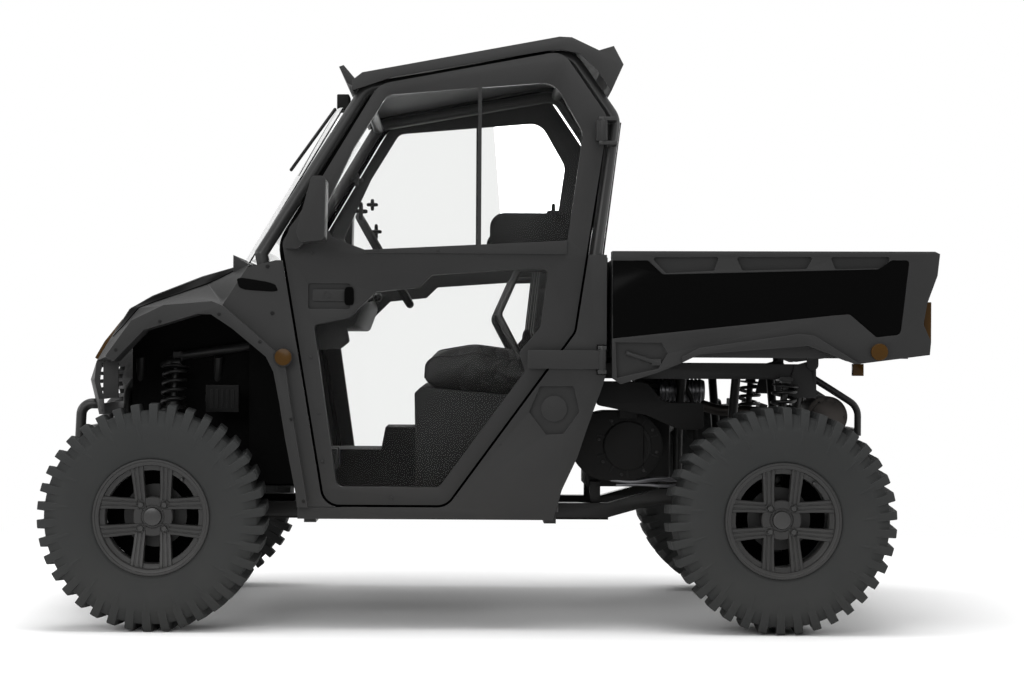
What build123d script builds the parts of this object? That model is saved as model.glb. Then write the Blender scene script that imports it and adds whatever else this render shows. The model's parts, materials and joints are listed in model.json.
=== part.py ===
from build123d import *
from math import cos, pi, radians, sin, tan
import os

os.makedirs("parts", exist_ok=True)

# A two-seat side by side utility vehicle with a closed cab and a tipping load bed.
# Frame: +X forward, +Y to the left, +Z up, in millimetres. The origin is on the ground,
# under the middle of the vehicle. Left-hand pieces are drawn and then mirrored.

# Wheels and running gear
wheelbase = 2080.0
front_axle_x = 1118.0
rear_axle_x = front_axle_x - wheelbase
overall_width = 1600.0
tyre_radius = 375.0
axle_z = tyre_radius
front_tyre_width = 230.0
rear_tyre_width = 280.0
flange_radius = 192.5
bead_radius = 178.0
rim_wall = 7.0
flange_inset = 26.0
hub_inset = 50.0
hub_radius = 70.0
bolt_circle = 110.0
lug_nut_radius = 11.0
spoke_width = 36.0
spoke_depth = 26.0
front_wheel_y = overall_width / 2 - front_tyre_width / 2
rear_wheel_y = overall_width / 2 - rear_tyre_width / 2
kingpin_y = front_wheel_y - 65.0
rear_hub_y = rear_wheel_y - 60.0
disc_y = overall_width / 2 - 150.0
stub_radius = 20.0
stub_end = overall_width / 2 - 85.0
steer_arm = 110.0
running_gap = 6.0

# Chassis
rail_y = 215.0
rail_width = 50.0
rail_low = 345.0
rail_high = 395.0
rail_rise = 50.0
rail_front_x = 1300.0
rail_rear_x = -1135.0
front_post_rear = 150.0
front_post_front = 120.0
rack_z = 415.0
front_diff_z = 450.0
member_height = 14.0
rail_kick_x = -594.0
engine_post_x = -665.0
bed_rail_y = 375.0
bed_rail_width = 40.0
bed_rail_low = 837.0
bed_rail_high = 890.0
brace_radius = 16.0
front_top_z = 905.0

rear_shock_x = -1011.0
rear_shock_y = 460.0
rear_shock_z = 832.0
guard_half = 285.0
guard_radius = 12.0
winch_x = 1240.0
winch_plate = 6.0
winch_pitch_x = 76.0
winch_pitch_y = 124.0
winch_hole_radius = 4.5
receiver_x = -1395.0
receiver_pin_inset = 45.0
receiver_z = 417.0
receiver_outer = 63.5
receiver_inner = 50.8
receiver_pin_radius = 8.0

# Cab
belt_z = 1250.0
cage_half_width = 664.0
cage_radius = 22.0
cage_lean = 7.0
cage_foot = 25.0
cab_foot_front_x = 602.0
cab_foot_rear_x = -198.0
door_half_width = cage_half_width + 41.0
door_lean = 3.5
door_low_thickness = 38.0
door_top_thickness = 30.0
door_gap = 8.0
glass = 5.0
hinge_x = -365.0
hinge_y = door_half_width + 20.0
hinge_pin_radius = 7.0
hinge_eye_radius = 13.0
hinge_play = 0.4
upper_eye_z = 1660.0
lower_eye_z = 902.0
eye_half = 34.0
ear = 12.0
sill_low_z = 367.0
skin_half_width = cage_half_width + 51.0
skin_thickness = 22.0
floor_z = 398.0
floor_thickness = 8.0
cab_inside = cage_half_width - 30.0
shoulder_y = cage_half_width - 64.0
wall = 10.0

# Load bed
bed_front_x = -399.0
bed_rear_x = -1480.0
bed_floor_low = 911.0
bed_floor_thickness = 20.0
bed_top_z = 1258.0
bed_half_width = 730.0
bed_skin_inner = bed_half_width - 40.0
bed_inner_half = bed_skin_inner - 38.0
bed_lip_y = bed_half_width + 15.0
tip_x = -1110.0
tip_z = 889.0
tip_pin_radius = 8.0
tip_pin_play = 0.5
tip_plate = 10.0
tailgate_thickness = 34.0
tailgate_x = -1411.0
tailgate_low = 937.0
tailgate_side_gap = 6.0

# Front body
hood_rear_x = 872.0
hood_half_width = cage_half_width - 68.0
fender_inner_y = hood_half_width + 4.0
fender_outer_y = skin_half_width
flare_y = fender_outer_y + 30.0


def side_plane(y, lean=0.0, z=0.0):
    """A plane seen from the left: x along the vehicle, y up its slope, extruding inwards."""
    tilt = radians(lean)
    return Plane(origin=(0, y, z), x_dir=(1, 0, 0), z_dir=(0, -cos(tilt), -sin(tilt)))


def area(rows, grow=0.0, drop=0.0):
    """A flat area whose rows are (x, z, corner radius), grown by a gap and lowered by drop."""
    with BuildSketch() as flat:
        with BuildLine():
            FilletPolyline(
                *[(x, z - drop) for x, z, corner in rows],
                radius=[corner for x, z, corner in rows],
                close=True,
            )
        make_face()
        if grow:
            offset(amount=grow, kind=Kind.INTERSECTION)
    return flat.sketch


def tube(radius, bend, *points):
    """A round tube through points, each corner bent to the same radius."""
    with BuildPart() as bar:
        with BuildLine() as path:
            if len(points) > 2:
                FilletPolyline(*points, radius=bend)
            else:
                Line(*points)
        with BuildSketch(Plane(origin=path.line @ 0, z_dir=path.line % 0)):
            Circle(radius)
        sweep()
    return bar.part


def slab(x, y, z):
    """A block given by its (low, high) extents along X, Y and Z."""
    with BuildPart() as block:
        with Locations((sum(x) / 2, sum(y) / 2, sum(z) / 2)):
            Box(abs(x[1] - x[0]), abs(y[1] - y[0]), abs(z[1] - z[0]))
    return block.part


# The door aperture, the middle of the gap all round the door: x, z, corner radius.
aperture = [
    (553, 413, 60),
    (701, 1287, 40),
    (384, 1820, 90),
    (-233, 1937, 70),
    (-389, 1709, 80),
    (-316, belt_z, 10),
    (-277, 994, 40),
    (147, 413, 60),
]
upper_window = [
    (570, 1372, 8),
    (462, 1605, 60),
    (352, 1783, 40),
    (-203, 1830, 70),
    (-301, 1660, 60),
    (-250, 1297, 14),
    (423, 1263, 8),
    (530, 1303, 8),
]
lower_window = [
    (590, 1012, 14),
    (512, 475, 26),
    (172, 475, 26),
    (-112, 862, 16),
    (-91, 925, 12),
    (-163, 1010, 20),
    (-188, 1208, 24),
    (199, 1180, 10),
    (242, 1138, 10),
    (385, 1123, 10),
    (474, 1035, 10),
]

# ---------------------------------------------------------------- chassis

# Welded steel frame: two lower rails, cross members, suspension posts and the bed rails.
with BuildPart() as frame:
    with BuildSketch(side_plane(rail_y + rail_width / 2)):
        with BuildLine():
            Polyline(
                (rail_front_x, rail_low),
                (rail_front_x, rail_high),
                (-420, rail_high),
                (rail_kick_x, rail_high + rail_rise),
                (rail_rear_x, rail_high + rail_rise),
                (rail_rear_x, rail_low + rail_rise),
                (rail_kick_x, rail_low + rail_rise),
                (-420, rail_low),
                close=True,
            )
        make_face()
    extrude(amount=rail_width)
    add(slab((bed_front_x + 10, tip_x - 14),
             (bed_rail_y - bed_rail_width / 2, bed_rail_y + bed_rail_width / 2),
             (bed_rail_low, bed_rail_high)))
    # front posts rise from the rails to the strut towers
    for post_x in (front_axle_x - front_post_rear, front_axle_x + front_post_front):
        add(tube(brace_radius, 60,
                 (post_x, rail_y, rail_high - 10),
                 (post_x, rail_y, 640),
                 (post_x - 20, 330, front_top_z)))
    # rear posts rise from the rails to the bed rails
    for post_x in (rear_axle_x - 110, rear_axle_x + 110, engine_post_x):
        add(tube(brace_radius, 60,
                 (post_x, rail_y, rail_high + rail_rise - 10),
                 (post_x, rail_y + 15, 640),
                 (post_x, bed_rail_y, bed_rail_low + 10)))
    add(tube(brace_radius, 60,
             (rail_front_x - 20, rail_y, rail_high - 10),
             (rail_front_x - 20, rail_y, 800),
             (front_axle_x - 30, 330, front_top_z),
             (732, 330, 958)))
    # plates for the bed's tipping hinge
    with BuildSketch(side_plane(bed_rail_y + bed_rail_width / 2 + tip_plate)):
        with BuildLine():
            Polyline((tip_x - 14, tip_z), (tip_x + 15, tip_z + 10), (tip_x + 60, tip_z - 3),
                     (tip_x + 90, 774), (tip_x - 16, 774), close=True)
        make_face()
        with Locations((tip_x, tip_z)):
            Circle(tip_pin_radius + tip_pin_play + 7)
            Circle(tip_pin_radius + tip_pin_play, mode=Mode.SUBTRACT)
    extrude(amount=tip_plate)
    mirror(about=Plane.XZ)
    # cross members
    for member_x in (rail_front_x - 40, front_axle_x - 250, 140, -300, rail_rear_x + 30):
        rise = rail_rise if member_x < rail_kick_x else 0
        add(slab((member_x - 20, member_x + 20), (-rail_y, rail_y),
                 (rail_low + rise, rail_low + rise + member_height)))
    for member_x in (bed_front_x - 20, rail_rear_x + 30):
        add(slab((member_x - 20, member_x + 20), (-bed_rail_y, bed_rail_y),
                 (bed_rail_low + 6, bed_rail_high - 6)))
    add(slab((front_axle_x - 46, front_axle_x - 14), (-345, 345),
             (front_top_z - 16, front_top_z + 16)))
    # brackets for the heads of the rear shocks, and the hoops of the muffler's guard
    add(slab((rear_shock_x - 22, rear_shock_x + 22), (bed_rail_y, rear_shock_y + 20),
             (rear_shock_z, rear_shock_z + 14)))
    add(slab((rear_shock_x - 22, rear_shock_x + 22), (-rear_shock_y - 20, -bed_rail_y),
             (rear_shock_z, rear_shock_z + 14)))
    for guard_y in (-guard_half, guard_half):
        add(tube(guard_radius, 60, (rail_rear_x + 20, guard_y, 852), (-1211, guard_y, 792),
                 (-1290, guard_y, 742), (-1290, guard_y, 640)))
    add(tube(guard_radius - 2, 0, (-1290, -guard_half, 656), (-1290, guard_half, 656)))
    # rubber pads carry the front of the bed
    for pad_y in (-300, 300):
        with Locations((bed_front_x - 20, pad_y, (bed_rail_high + bed_floor_low) / 2 - 4)):
            Cylinder(15, bed_floor_low - bed_rail_high + 7)
    # winch plate with four bolt holes between the front rails
    with BuildSketch(Plane.XY.offset(rail_high)):
        with Locations((winch_x, 0)):
            Rectangle(110, 2 * rail_y)
            with GridLocations(winch_pitch_x, winch_pitch_y, 2, 2):
                Circle(winch_hole_radius, mode=Mode.SUBTRACT)
    extrude(amount=winch_plate)
    # hitch receiver behind the rear cross member, with its pin hole
    add(slab((rail_rear_x + 20, receiver_x), (-receiver_outer / 2, receiver_outer / 2),
             (receiver_z - receiver_outer / 2, receiver_z + receiver_outer / 2)))
    add(slab((rail_rear_x + 10, receiver_x), (-receiver_inner / 2, receiver_inner / 2),
             (receiver_z - receiver_inner / 2, receiver_z + receiver_inner / 2)),
        mode=Mode.SUBTRACT)
    with BuildSketch(Plane.XZ.offset(-receiver_outer)):
        with Locations((receiver_x + receiver_pin_inset, receiver_z)):
            Circle(receiver_pin_radius)
    extrude(amount=2 * receiver_outer, mode=Mode.SUBTRACT)
    # outriggers carry the cab posts
    for member_x in (cab_foot_front_x, cab_foot_rear_x):
        add(slab((member_x - 20, member_x + 20), (-cage_half_width, cage_half_width),
                 (rail_low + 10, rail_high)))
frame.part.label = "frame"
export_step(frame.part, "parts/frame.step")

# Roll cage: bent tube hoops leaning in above the belt, straight posts below it.
hoop_top_y = cage_half_width - 640 * sin(radians(cage_lean))
cage_plane = side_plane(cage_half_width, cage_lean, belt_z)
hoop = [(769, 0), (425, 563), (-260, 683), (-409, 464), (-345, 0)]
foot_top = rail_high + cage_foot
front_post = [(769, belt_z), (745, 1130), (cab_foot_front_x, foot_top)]
rear_post = [(-345, belt_z), (-345, 860), (-232, 580), (cab_foot_rear_x, foot_top)]
with BuildPart() as roll_cage:
    with BuildLine(cage_plane) as hoop_path:
        FilletPolyline(*hoop, radius=70)
    with BuildSketch(Plane(origin=hoop_path.line @ 0, z_dir=hoop_path.line % 0)):
        Circle(cage_radius)
    sweep(path=hoop_path.line)
    for post in (front_post, rear_post):
        add(tube(cage_radius, 60, *[(x, cage_half_width, z) for x, z in post]))
        with Locations((post[0][0], cage_half_width, belt_z)):
            Sphere(cage_radius + 0.5)
        with Locations((post[-1][0], cage_half_width, rail_high + cage_foot / 2)):
            Cylinder(cage_radius + 6, cage_foot)
    # brackets and pins of the door hinges
    for eye_z, arm_x, arm_y in (
        (upper_eye_z, hinge_x - 32, hoop_top_y + 10),
        (lower_eye_z, hinge_x, cage_half_width),
    ):
        for ear_z in (eye_z - eye_half - ear, eye_z + eye_half):
            add(slab((arm_x - 14, arm_x + 14), (arm_y, hinge_y), (ear_z, ear_z + ear)))
            add(slab((arm_x - 14, hinge_x + 14), (hinge_y - 14, hinge_y + 6),
                     (ear_z, ear_z + ear)))
        with Locations((hinge_x, hinge_y, eye_z)):
            Cylinder(hinge_pin_radius, 2 * (eye_half + ear))
    # the shoulder bar bends down from the rear post to the hip
    add(tube(12, 30, (-335, cage_half_width - 20, 1215), (-90, shoulder_y, 1205),
             (-22, shoulder_y, 1052), (-100, shoulder_y, 905)))
    mirror(about=Plane.XZ)
    # cross tubes at the cowl, windscreen head, roof rear, belt and hip
    for bar_x, bar_y, bar_z in (
        (745, cage_half_width, 1130),
        (432, hoop_top_y + 20, 1795),
        (-262, hoop_top_y, 1925),
        (-347, cage_half_width, 1225),
        (-330, cage_half_width, 880),
    ):
        add(tube(cage_radius - 3, 0, (bar_x, -bar_y, bar_z), (bar_x, bar_y, bar_z)))
roll_cage.part.label = "roll_cage"
export_step(roll_cage.part, "parts/roll_cage.step")

# ---------------------------------------------------------------- cab shell

# Solids of the aperture, a gap larger than the doors, that the skins are cut back from.
with BuildPart() as aperture_block:
    with BuildSketch(side_plane(flare_y + 60)):
        add(area(aperture, door_gap / 2))
    extrude(amount=200)

# Roof: one moulded shell with side skirts, a raised rear wing and a front visor.
roof_side = [(473, 1796), (469, 1833), (437, 1858), (-222, 1981), (-263, 1979), (-354, 1936),
             (-403, 1951), (-436, 1889), (-396, 1800), (-350, 1868), (-292, 1925), (-223, 1938),
             (-173, 1932), (335, 1843)]
roof_under = [(490, 1760), (460, 1812), (428, 1843), (-222, 1967), (-263, 1965), (-345, 1925),
              (-375, 1900), (-385, 1800), (-300, 1700), (335, 1700)]
roof_half = cage_half_width - 12.0
skirt = 8.0
with BuildPart() as roof:
    with BuildSketch(side_plane(roof_half)):
        with BuildLine():
            Polyline(*roof_side, close=True)
        make_face()
    extrude(amount=2 * roof_half)
    with BuildSketch(side_plane(roof_half - skirt)):
        with BuildLine():
            Polyline(*roof_under, close=True)
        make_face()
    extrude(amount=2 * (roof_half - skirt), mode=Mode.SUBTRACT)
    # the wing is narrower than the skirts and the visor turns up over the windscreen
    with BuildSketch(side_plane(430)):
        with BuildLine():
            Polyline((440, 1852), (466, 1830), (500, 1850), (528, 1905), (512, 1911),
                     (470, 1862), close=True)
        make_face()
    extrude(amount=860)
    # ribs along the top
    for rib_y in (-360, -120, 120, 360):
        with BuildSketch(side_plane(rib_y + 60)):
            with BuildLine():
                Polyline((380, 1864), (360, 1877), (-200, 1981), (-222, 1976), close=True)
            make_face()
        extrude(amount=120)
roof.part.label = "roof"
export_step(roof.part, "parts/roof.step")

# Curved windscreen and a flat rear window, both of 5 mm laminate.
screen_foot = (789, 1205)
screen_head = (477, 1727)
screen_half = cage_half_width - 46.0
screen_bow = 62.0
screen_stand_off = cage_radius + 4
run_x = screen_head[0] - screen_foot[0]
run_z = screen_head[1] - screen_foot[1]
run = (run_x**2 + run_z**2) ** 0.5
screen_plane = Plane(
    origin=(screen_foot[0] + screen_stand_off * run_z / run, 0,
            screen_foot[1] - screen_stand_off * run_x / run),
    x_dir=(0, 1, 0),
    z_dir=(run_x, 0, run_z),
)
with BuildPart() as cab_glass:
    with BuildSketch(screen_plane):
        with BuildLine():
            ThreePointArc((-screen_half, 0), (0, -screen_bow), (screen_half, 0))
            Line((screen_half, 0), (screen_half, -glass))
            ThreePointArc((screen_half, -glass), (0, -glass - screen_bow),
                          (-screen_half, -glass))
            Line((-screen_half, -glass), (-screen_half, 0))
        make_face()
    extrude(amount=run)
    with BuildSketch(side_plane(shoulder_y)):
        with BuildLine():
            Polyline((-372, 1252), (-428, 1700), (-428 - glass, 1700), (-372 - glass, 1252),
                     close=True)
        make_face()
    extrude(amount=2 * shoulder_y)
cab_glass.part.label = "cab_glass"
export_step(cab_glass.part, "parts/cab_glass.step")

# Rear cab wall: a bent sheet behind the seats, from the floor up to the rear window.
wall_line = [(-178, 398), (-178, 430), (-292, 700), (-378, 905), (-378, belt_z - 4)]
with BuildPart() as rear_wall:
    with BuildSketch(side_plane(cab_inside)):
        with BuildLine():
            Polyline(*wall_line, *[(x - wall, z) for x, z in reversed(wall_line)], close=True)
        make_face()
    extrude(amount=2 * cab_inside)
rear_wall.part.label = "rear_wall"
export_step(rear_wall.part, "parts/rear_wall.step")

# Floor pan: the floor on the rails, a firewall sloping up to the cowl and a centre tunnel.
tunnel_half = 150.0
tunnel_z = 576.0
firewall = [(560, floor_z + floor_thickness), (640, 560), (690, 800), (722, 1100)]
with BuildPart() as floor_pan:
    add(slab((-165, 560), (-cab_inside, cab_inside), (floor_z, floor_z + floor_thickness)))
    with BuildSketch(side_plane(cab_inside)):
        with BuildLine():
            Polyline((560, floor_z), *firewall, (722 - floor_thickness, 1100),
                     *[(x - floor_thickness, z) for x, z in reversed(firewall[1:3])],
                     (560 - floor_thickness, floor_z + floor_thickness), close=True)
        make_face()
    extrude(amount=2 * cab_inside)
    with BuildSketch(side_plane(tunnel_half)):
        with BuildLine():
            Polyline((262, floor_z + 2), (262, 656), (371, 656), (386, tunnel_z),
                     (636, tunnel_z), (560, floor_z + 2), close=True)
        make_face()
    extrude(amount=2 * tunnel_half)
floor_pan.part.label = "floor_pan"
export_step(floor_pan.part, "parts/floor_pan.step")

# Lower side skins: the sill and the rear quarter behind each door, with the filler recess.
quarter = [(640, sill_low_z + 3), (-206, sill_low_z + 3), (-235, 470), (-285, 577),
           (-316, 671), (-369, 819), (-380, 858), (-380, belt_z), (0, belt_z), (400, 500),
           (500, 408), (640, 408)]
filler_x = -208.0
filler_z = 739.0
filler_cap_radius = 42.0
filler_depth = 14.0
recess = [(-160, 814, 8), (-273, 815, 8), (-292, 729, 8), (-240, 656, 8), (-182, 652, 8),
          (-124, 728, 8)]
with BuildPart() as side_skins:
    with BuildSketch(side_plane(skin_half_width)):
        with BuildLine():
            Polyline(*quarter, close=True)
        make_face()
    extrude(amount=skin_thickness)
    add(aperture_block.part, mode=Mode.SUBTRACT)
    with BuildSketch(side_plane(skin_half_width)):
        add(area(recess))
    extrude(amount=filler_depth, mode=Mode.SUBTRACT)
    with BuildSketch(side_plane(skin_half_width - 2)):
        with Locations((filler_x, filler_z)):
            Circle(filler_cap_radius)
    extrude(amount=filler_depth)
    # a notch for the bracket of the lower hinge
    add(slab((hinge_x - 40, hinge_x + 18), (skin_half_width - 40, skin_half_width + 20),
             (lower_eye_z - eye_half - ear - 4, lower_eye_z + eye_half + ear + 4)),
        mode=Mode.SUBTRACT)
    mirror(about=Plane.XZ)
side_skins.part.label = "side_skins"
export_step(side_skins.part, "parts/side_skins.step")

# Seat base: one moulded box across the cab, a service lid line left between its halves.
seat_half = cab_inside - 49.0
base_top = 806.0
seat_base_side = [(250, floor_z + floor_thickness), (258, base_top - 20), (238, base_top),
                  (-240, base_top - 40), (-150, 470), (-150, floor_z + floor_thickness)]
with BuildPart() as seat_base:
    with BuildSketch(side_plane(seat_half)):
        with BuildLine():
            Polyline(*seat_base_side, close=True)
        make_face()
    extrude(amount=2 * seat_half)
seat_base.part.label = "seat_base"
export_step(seat_base.part, "parts/seat_base.step")

# Two bucket seats, each a cushion and a reclined back; they rest on the seat base.
seat_width = 500.0
seat_y = seat_half - seat_width / 2 - 25.0
cushion = [(246, base_top + 6, 20), (240, 905, 40), (60, 940, 120), (-215, 900, 30),
           (-225, base_top - 30, 10)]
back = [(-145, 925, 30), (-205, 1395, 30), (-290, 1400, 30), (-262, 900, 20)]
with BuildPart() as seat_cushions:
    for side in (1, -1):
        with BuildSketch(side_plane(side * seat_y + seat_width / 2)):
            add(area(cushion))
        extrude(amount=seat_width)
    with BuildSketch(side_plane(seat_half + 100)):
        with BuildLine():
            Polyline(*[(x, z + 1) for x, z in seat_base_side], close=True)
        make_face()
    extrude(amount=2 * seat_half + 200, mode=Mode.SUBTRACT)
seat_cushions.part.label = "seat_cushions"
export_step(seat_cushions.part, "parts/seat_cushions.step")
with BuildPart() as seat_backs:
    for side in (1, -1):
        with BuildSketch(side_plane(side * seat_y + seat_width / 2 - 10)):
            add(area(back))
        extrude(amount=seat_width - 20)
seat_backs.part.label = "seat_backs"
export_step(seat_backs.part, "parts/seat_backs.step")

# Moulded shoulder guards beside the seat backs, carried by the rear posts.
guard = [(7, 1282, 14), (7, 1395, 50), (-259, 1395, 8), (-330, 1360, 8), (-318, 1282, 8)]
with BuildPart() as shoulder_guards:
    with BuildSketch(side_plane(cab_inside - 36)):
        add(area(guard))
    extrude(amount=16)
    mirror(about=Plane.XZ)
shoulder_guards.part.label = "shoulder_guards"
export_step(shoulder_guards.part, "parts/shoulder_guards.step")

# Dashboard with a binnacle in front of the driver.
dash_half = cab_inside - 22.0
dash = [(700, 1190, 10), (470, 1190, 40), (430, 1090, 40), (462, 1004, 20), (690, 1004, 10)]
wheel_y = seat_y + 10.0
with BuildPart() as dashboard:
    with BuildSketch(side_plane(dash_half)):
        add(area(dash))
    extrude(amount=2 * dash_half)
    with BuildSketch(side_plane(wheel_y + 130)):
        add(area([(600, 1180, 10), (560, 1245, 20), (480, 1240, 10), (462, 1150, 6)]))
    extrude(amount=260)
    # the switch pod at its left end
    with BuildSketch(side_plane(dash_half)):
        add(area([(590, 1020, 6), (490, 1020, 6), (478, 958, 12), (505, 936, 10), (590, 928, 6)]))
    extrude(amount=60)
dashboard.part.label = "dashboard"
export_step(dashboard.part, "parts/dashboard.step")

# Steering wheel on its column, and the pedals under the dashboard.
wheel_centre = (371, wheel_y, 1243)
wheel_radius = 190.0
grip_radius = 14.0
column_tilt = 30.3
wheel_plane = Plane(origin=wheel_centre, x_dir=(0, 1, 0),
                    z_dir=(-cos(radians(column_tilt)), 0, sin(radians(column_tilt))))
with BuildPart() as steering_wheel:
    with BuildSketch(Plane(origin=wheel_centre, x_dir=wheel_plane.z_dir,
                           z_dir=wheel_plane.y_dir)):
        with Locations((0, wheel_radius - grip_radius)):
            Circle(grip_radius)
    revolve(axis=Axis(wheel_centre, wheel_plane.z_dir))
    with BuildSketch(wheel_plane.offset(-40)):
        Circle(44)
    extrude(amount=34)
    for angle in (0, 180, 270):
        with BuildSketch(wheel_plane.offset(-12)):
            with PolarLocations(wheel_radius / 2, 1, start_angle=angle):
                Rectangle(wheel_radius - grip_radius - 10, 34)
        extrude(amount=12)
steering_wheel.part.label = "steering_wheel"
export_step(steering_wheel.part, "parts/steering_wheel.step")
with BuildPart() as driver_controls:
    with BuildSketch(wheel_plane.offset(-40 - running_gap)):
        Circle(24)
    extrude(amount=-90)
    for pedal_y in (wheel_y - 60, wheel_y + 70):
        add(tube(7, 0, (638, pedal_y, 700), (560, pedal_y, 560)))
        add(slab((528, 562), (pedal_y - 32, pedal_y + 32), (520, 590)))
    # the gear selector stands out from the dashboard
    add(tube(7, 0, (445, 120, 1106), (404, 120, 1118)))
    with Locations((402, 120, 1119)):
        Sphere(16)
    add(dashboard.part, mode=Mode.SUBTRACT)
driver_controls.part.label = "driver_controls"
export_step(driver_controls.part, "parts/driver_controls.step")

# ---------------------------------------------------------------- doors

for side_name, turn in (("left", 1), ("right", -1)):
    with BuildPart() as door_frame:
        # the leaning upper frame with its window, then the flat lower panel with its own
        with BuildSketch(side_plane(door_half_width, door_lean, belt_z)):
            add(area(aperture, -door_gap / 2, belt_z))
            with Locations((0, -500)):
                Rectangle(3000, 1000, mode=Mode.SUBTRACT)
            add(area(upper_window, 0, belt_z), mode=Mode.SUBTRACT)
            with Locations((43, 283)):
                Rectangle(12, 590)
        extrude(amount=door_top_thickness)
        with BuildSketch(side_plane(door_half_width)):
            add(area(aperture, -door_gap / 2))
            with Locations((0, belt_z + 500)):
                Rectangle(3000, 1000, mode=Mode.SUBTRACT)
            add(area(lower_window), mode=Mode.SUBTRACT)
        extrude(amount=door_low_thickness)
        # pocket of the door handle
        with BuildSketch(side_plane(door_half_width)):
            with Locations((540, 1108)):
                RectangleRounded(140, 86, 8)
        extrude(amount=12, mode=Mode.SUBTRACT)
        # belt ledge over the lower panel
        with BuildSketch(side_plane(door_half_width + 8)):
            with BuildLine():
                Polyline((423, belt_z + 2), (423, belt_z + 12), (-246, belt_z + 46),
                         (-246, belt_z + 2), close=True)
            make_face()
        extrude(amount=12)
        if turn < 0:
            mirror(about=Plane.XZ, mode=Mode.REPLACE)
    door_frame.part.label = f"door_{side_name}_frame"
    export_step(door_frame.part, f"parts/door_{side_name}_frame.step")

    with BuildPart() as door_glass:
        with BuildSketch(side_plane(door_half_width, door_lean, belt_z).offset(16)):
            add(area(upper_window, 0, belt_z))
        extrude(amount=glass)
        with BuildSketch(side_plane(door_half_width - 20)):
            add(area(lower_window))
        extrude(amount=glass)
        add(door_frame.part if turn > 0 else door_frame.part.mirror(Plane.XZ),
            mode=Mode.SUBTRACT)
        if turn < 0:
            mirror(about=Plane.XZ, mode=Mode.REPLACE)
    door_glass.part.label = f"door_{side_name}_glass"
    export_step(door_glass.part, f"parts/door_{side_name}_glass.step")

    with BuildPart() as door_fittings:
        # handle paddle in its pocket
        with BuildSketch(side_plane(door_half_width - 2)):
            with Locations((536, 1111)):
                RectangleRounded(118, 38, 6)
        extrude(amount=10)
        # hinge straps end in eyes round the pins of the cab
        lean_y = door_half_width - (upper_eye_z - belt_z) * tan(radians(door_lean))
        add(slab((hinge_x, hinge_x + 22), (lean_y + 2, hinge_y + 5),
                 (upper_eye_z - eye_half + 1, upper_eye_z + eye_half - 1)))
        with BuildSketch(side_plane(hinge_y + 5)):
            add(area([(hinge_x, lower_eye_z - 30, 0), (-119, lower_eye_z - 30, 6),
                      (-119, lower_eye_z + 31, 6), (hinge_x, lower_eye_z + 31, 0)]))
        extrude(amount=10)
        add(slab((-178, -125), (door_half_width, hinge_y),
                 (lower_eye_z - 24, lower_eye_z + 24)))
        for eye_z in (upper_eye_z, lower_eye_z):
            with Locations((hinge_x, hinge_y, eye_z)):
                Cylinder(hinge_eye_radius, 2 * eye_half - 2)
                Cylinder(hinge_pin_radius + hinge_play, 2 * eye_half, mode=Mode.SUBTRACT)
        # mirror: a bracket at the front corner of the window and a deep housing
        with BuildSketch(side_plane(door_half_width + 65)):
            add(area([(585, 1490, 16), (540, 1490, 16), (544, 1285, 12), (622, 1275, 14),
                      (634, 1310, 12)]))
        extrude(amount=-150)
        with BuildSketch(side_plane(door_half_width + 65)):
            add(area([(690, 1262, 8), (668, 1330, 8), (615, 1400, 8), (600, 1300, 8),
                      (640, 1262, 8)]))
        extrude(amount=64)
        if turn < 0:
            mirror(about=Plane.XZ, mode=Mode.REPLACE)
        add(door_frame.part, mode=Mode.SUBTRACT)
    door_fittings.part.label = f"door_{side_name}_fittings"
    export_step(door_fittings.part, f"parts/door_{side_name}_fittings.step")

# ---------------------------------------------------------------- front body

# Outer fender and flare profiles over the front wheel, seen from the side.
arch = [(1249, 887), (1149, 992), (973, 1046), (929, 1046), (859, 1000), (812, 962)]
arch_rear = [(745, 906), (720, 856), (700, 755), (681, 641), (645, 458), (635, 368)]
ridge = [(1275, 905), (1190, 1023), (1083, 1075), (925, 1088), (893, 1076), (812, 1009)]
ridge_rear = [(709, 919), (680, 870), (664, 755), (645, 641), (612, 458), (598, 368)]
crown = [(1326, 890), (1288, 954), (1218, 1064), (1141, 1109), (974, 1175), (812, 1222)]
with BuildPart() as front_fenders:
    # sloping crown from the hood's edge down to the flare ridge
    with BuildSketch(side_plane(fender_inner_y)):
        with BuildLine():
            Polyline(*crown, *reversed(arch), close=True)
        make_face()
    with BuildSketch(side_plane(fender_outer_y)):
        with BuildLine():
            Polyline(*ridge[:-1], (812, 1200), *reversed(arch), close=True)
        make_face()
    loft(ruled=True)
    # flat rear part up to the door
    with BuildSketch(side_plane(fender_outer_y)):
        with BuildLine():
            Polyline((812, 1200), (812, 962), *arch_rear, (500, 368), (500, 1226),
                     (717, 1226), close=True)
        make_face()
    extrude(amount=skin_thickness)
    # raised flare lip that follows the arch
    with BuildSketch(side_plane(flare_y)):
        with BuildLine():
            Polyline(*arch, *arch_rear, *reversed(ridge_rear), *reversed(ridge), close=True)
        make_face()
    extrude(amount=flare_y - fender_outer_y + 8)
    add(aperture_block.part, mode=Mode.SUBTRACT)
    add(cab_glass.part, mode=Mode.SUBTRACT)
    # the sill takes over below the rear end
    add(slab((400, 700), (fender_inner_y - 100, flare_y + 55), (300, 410)), mode=Mode.SUBTRACT)
    mirror(about=Plane.XZ)
front_fenders.part.label = "front_fenders"
export_step(front_fenders.part, "parts/front_fenders.step")

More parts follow.
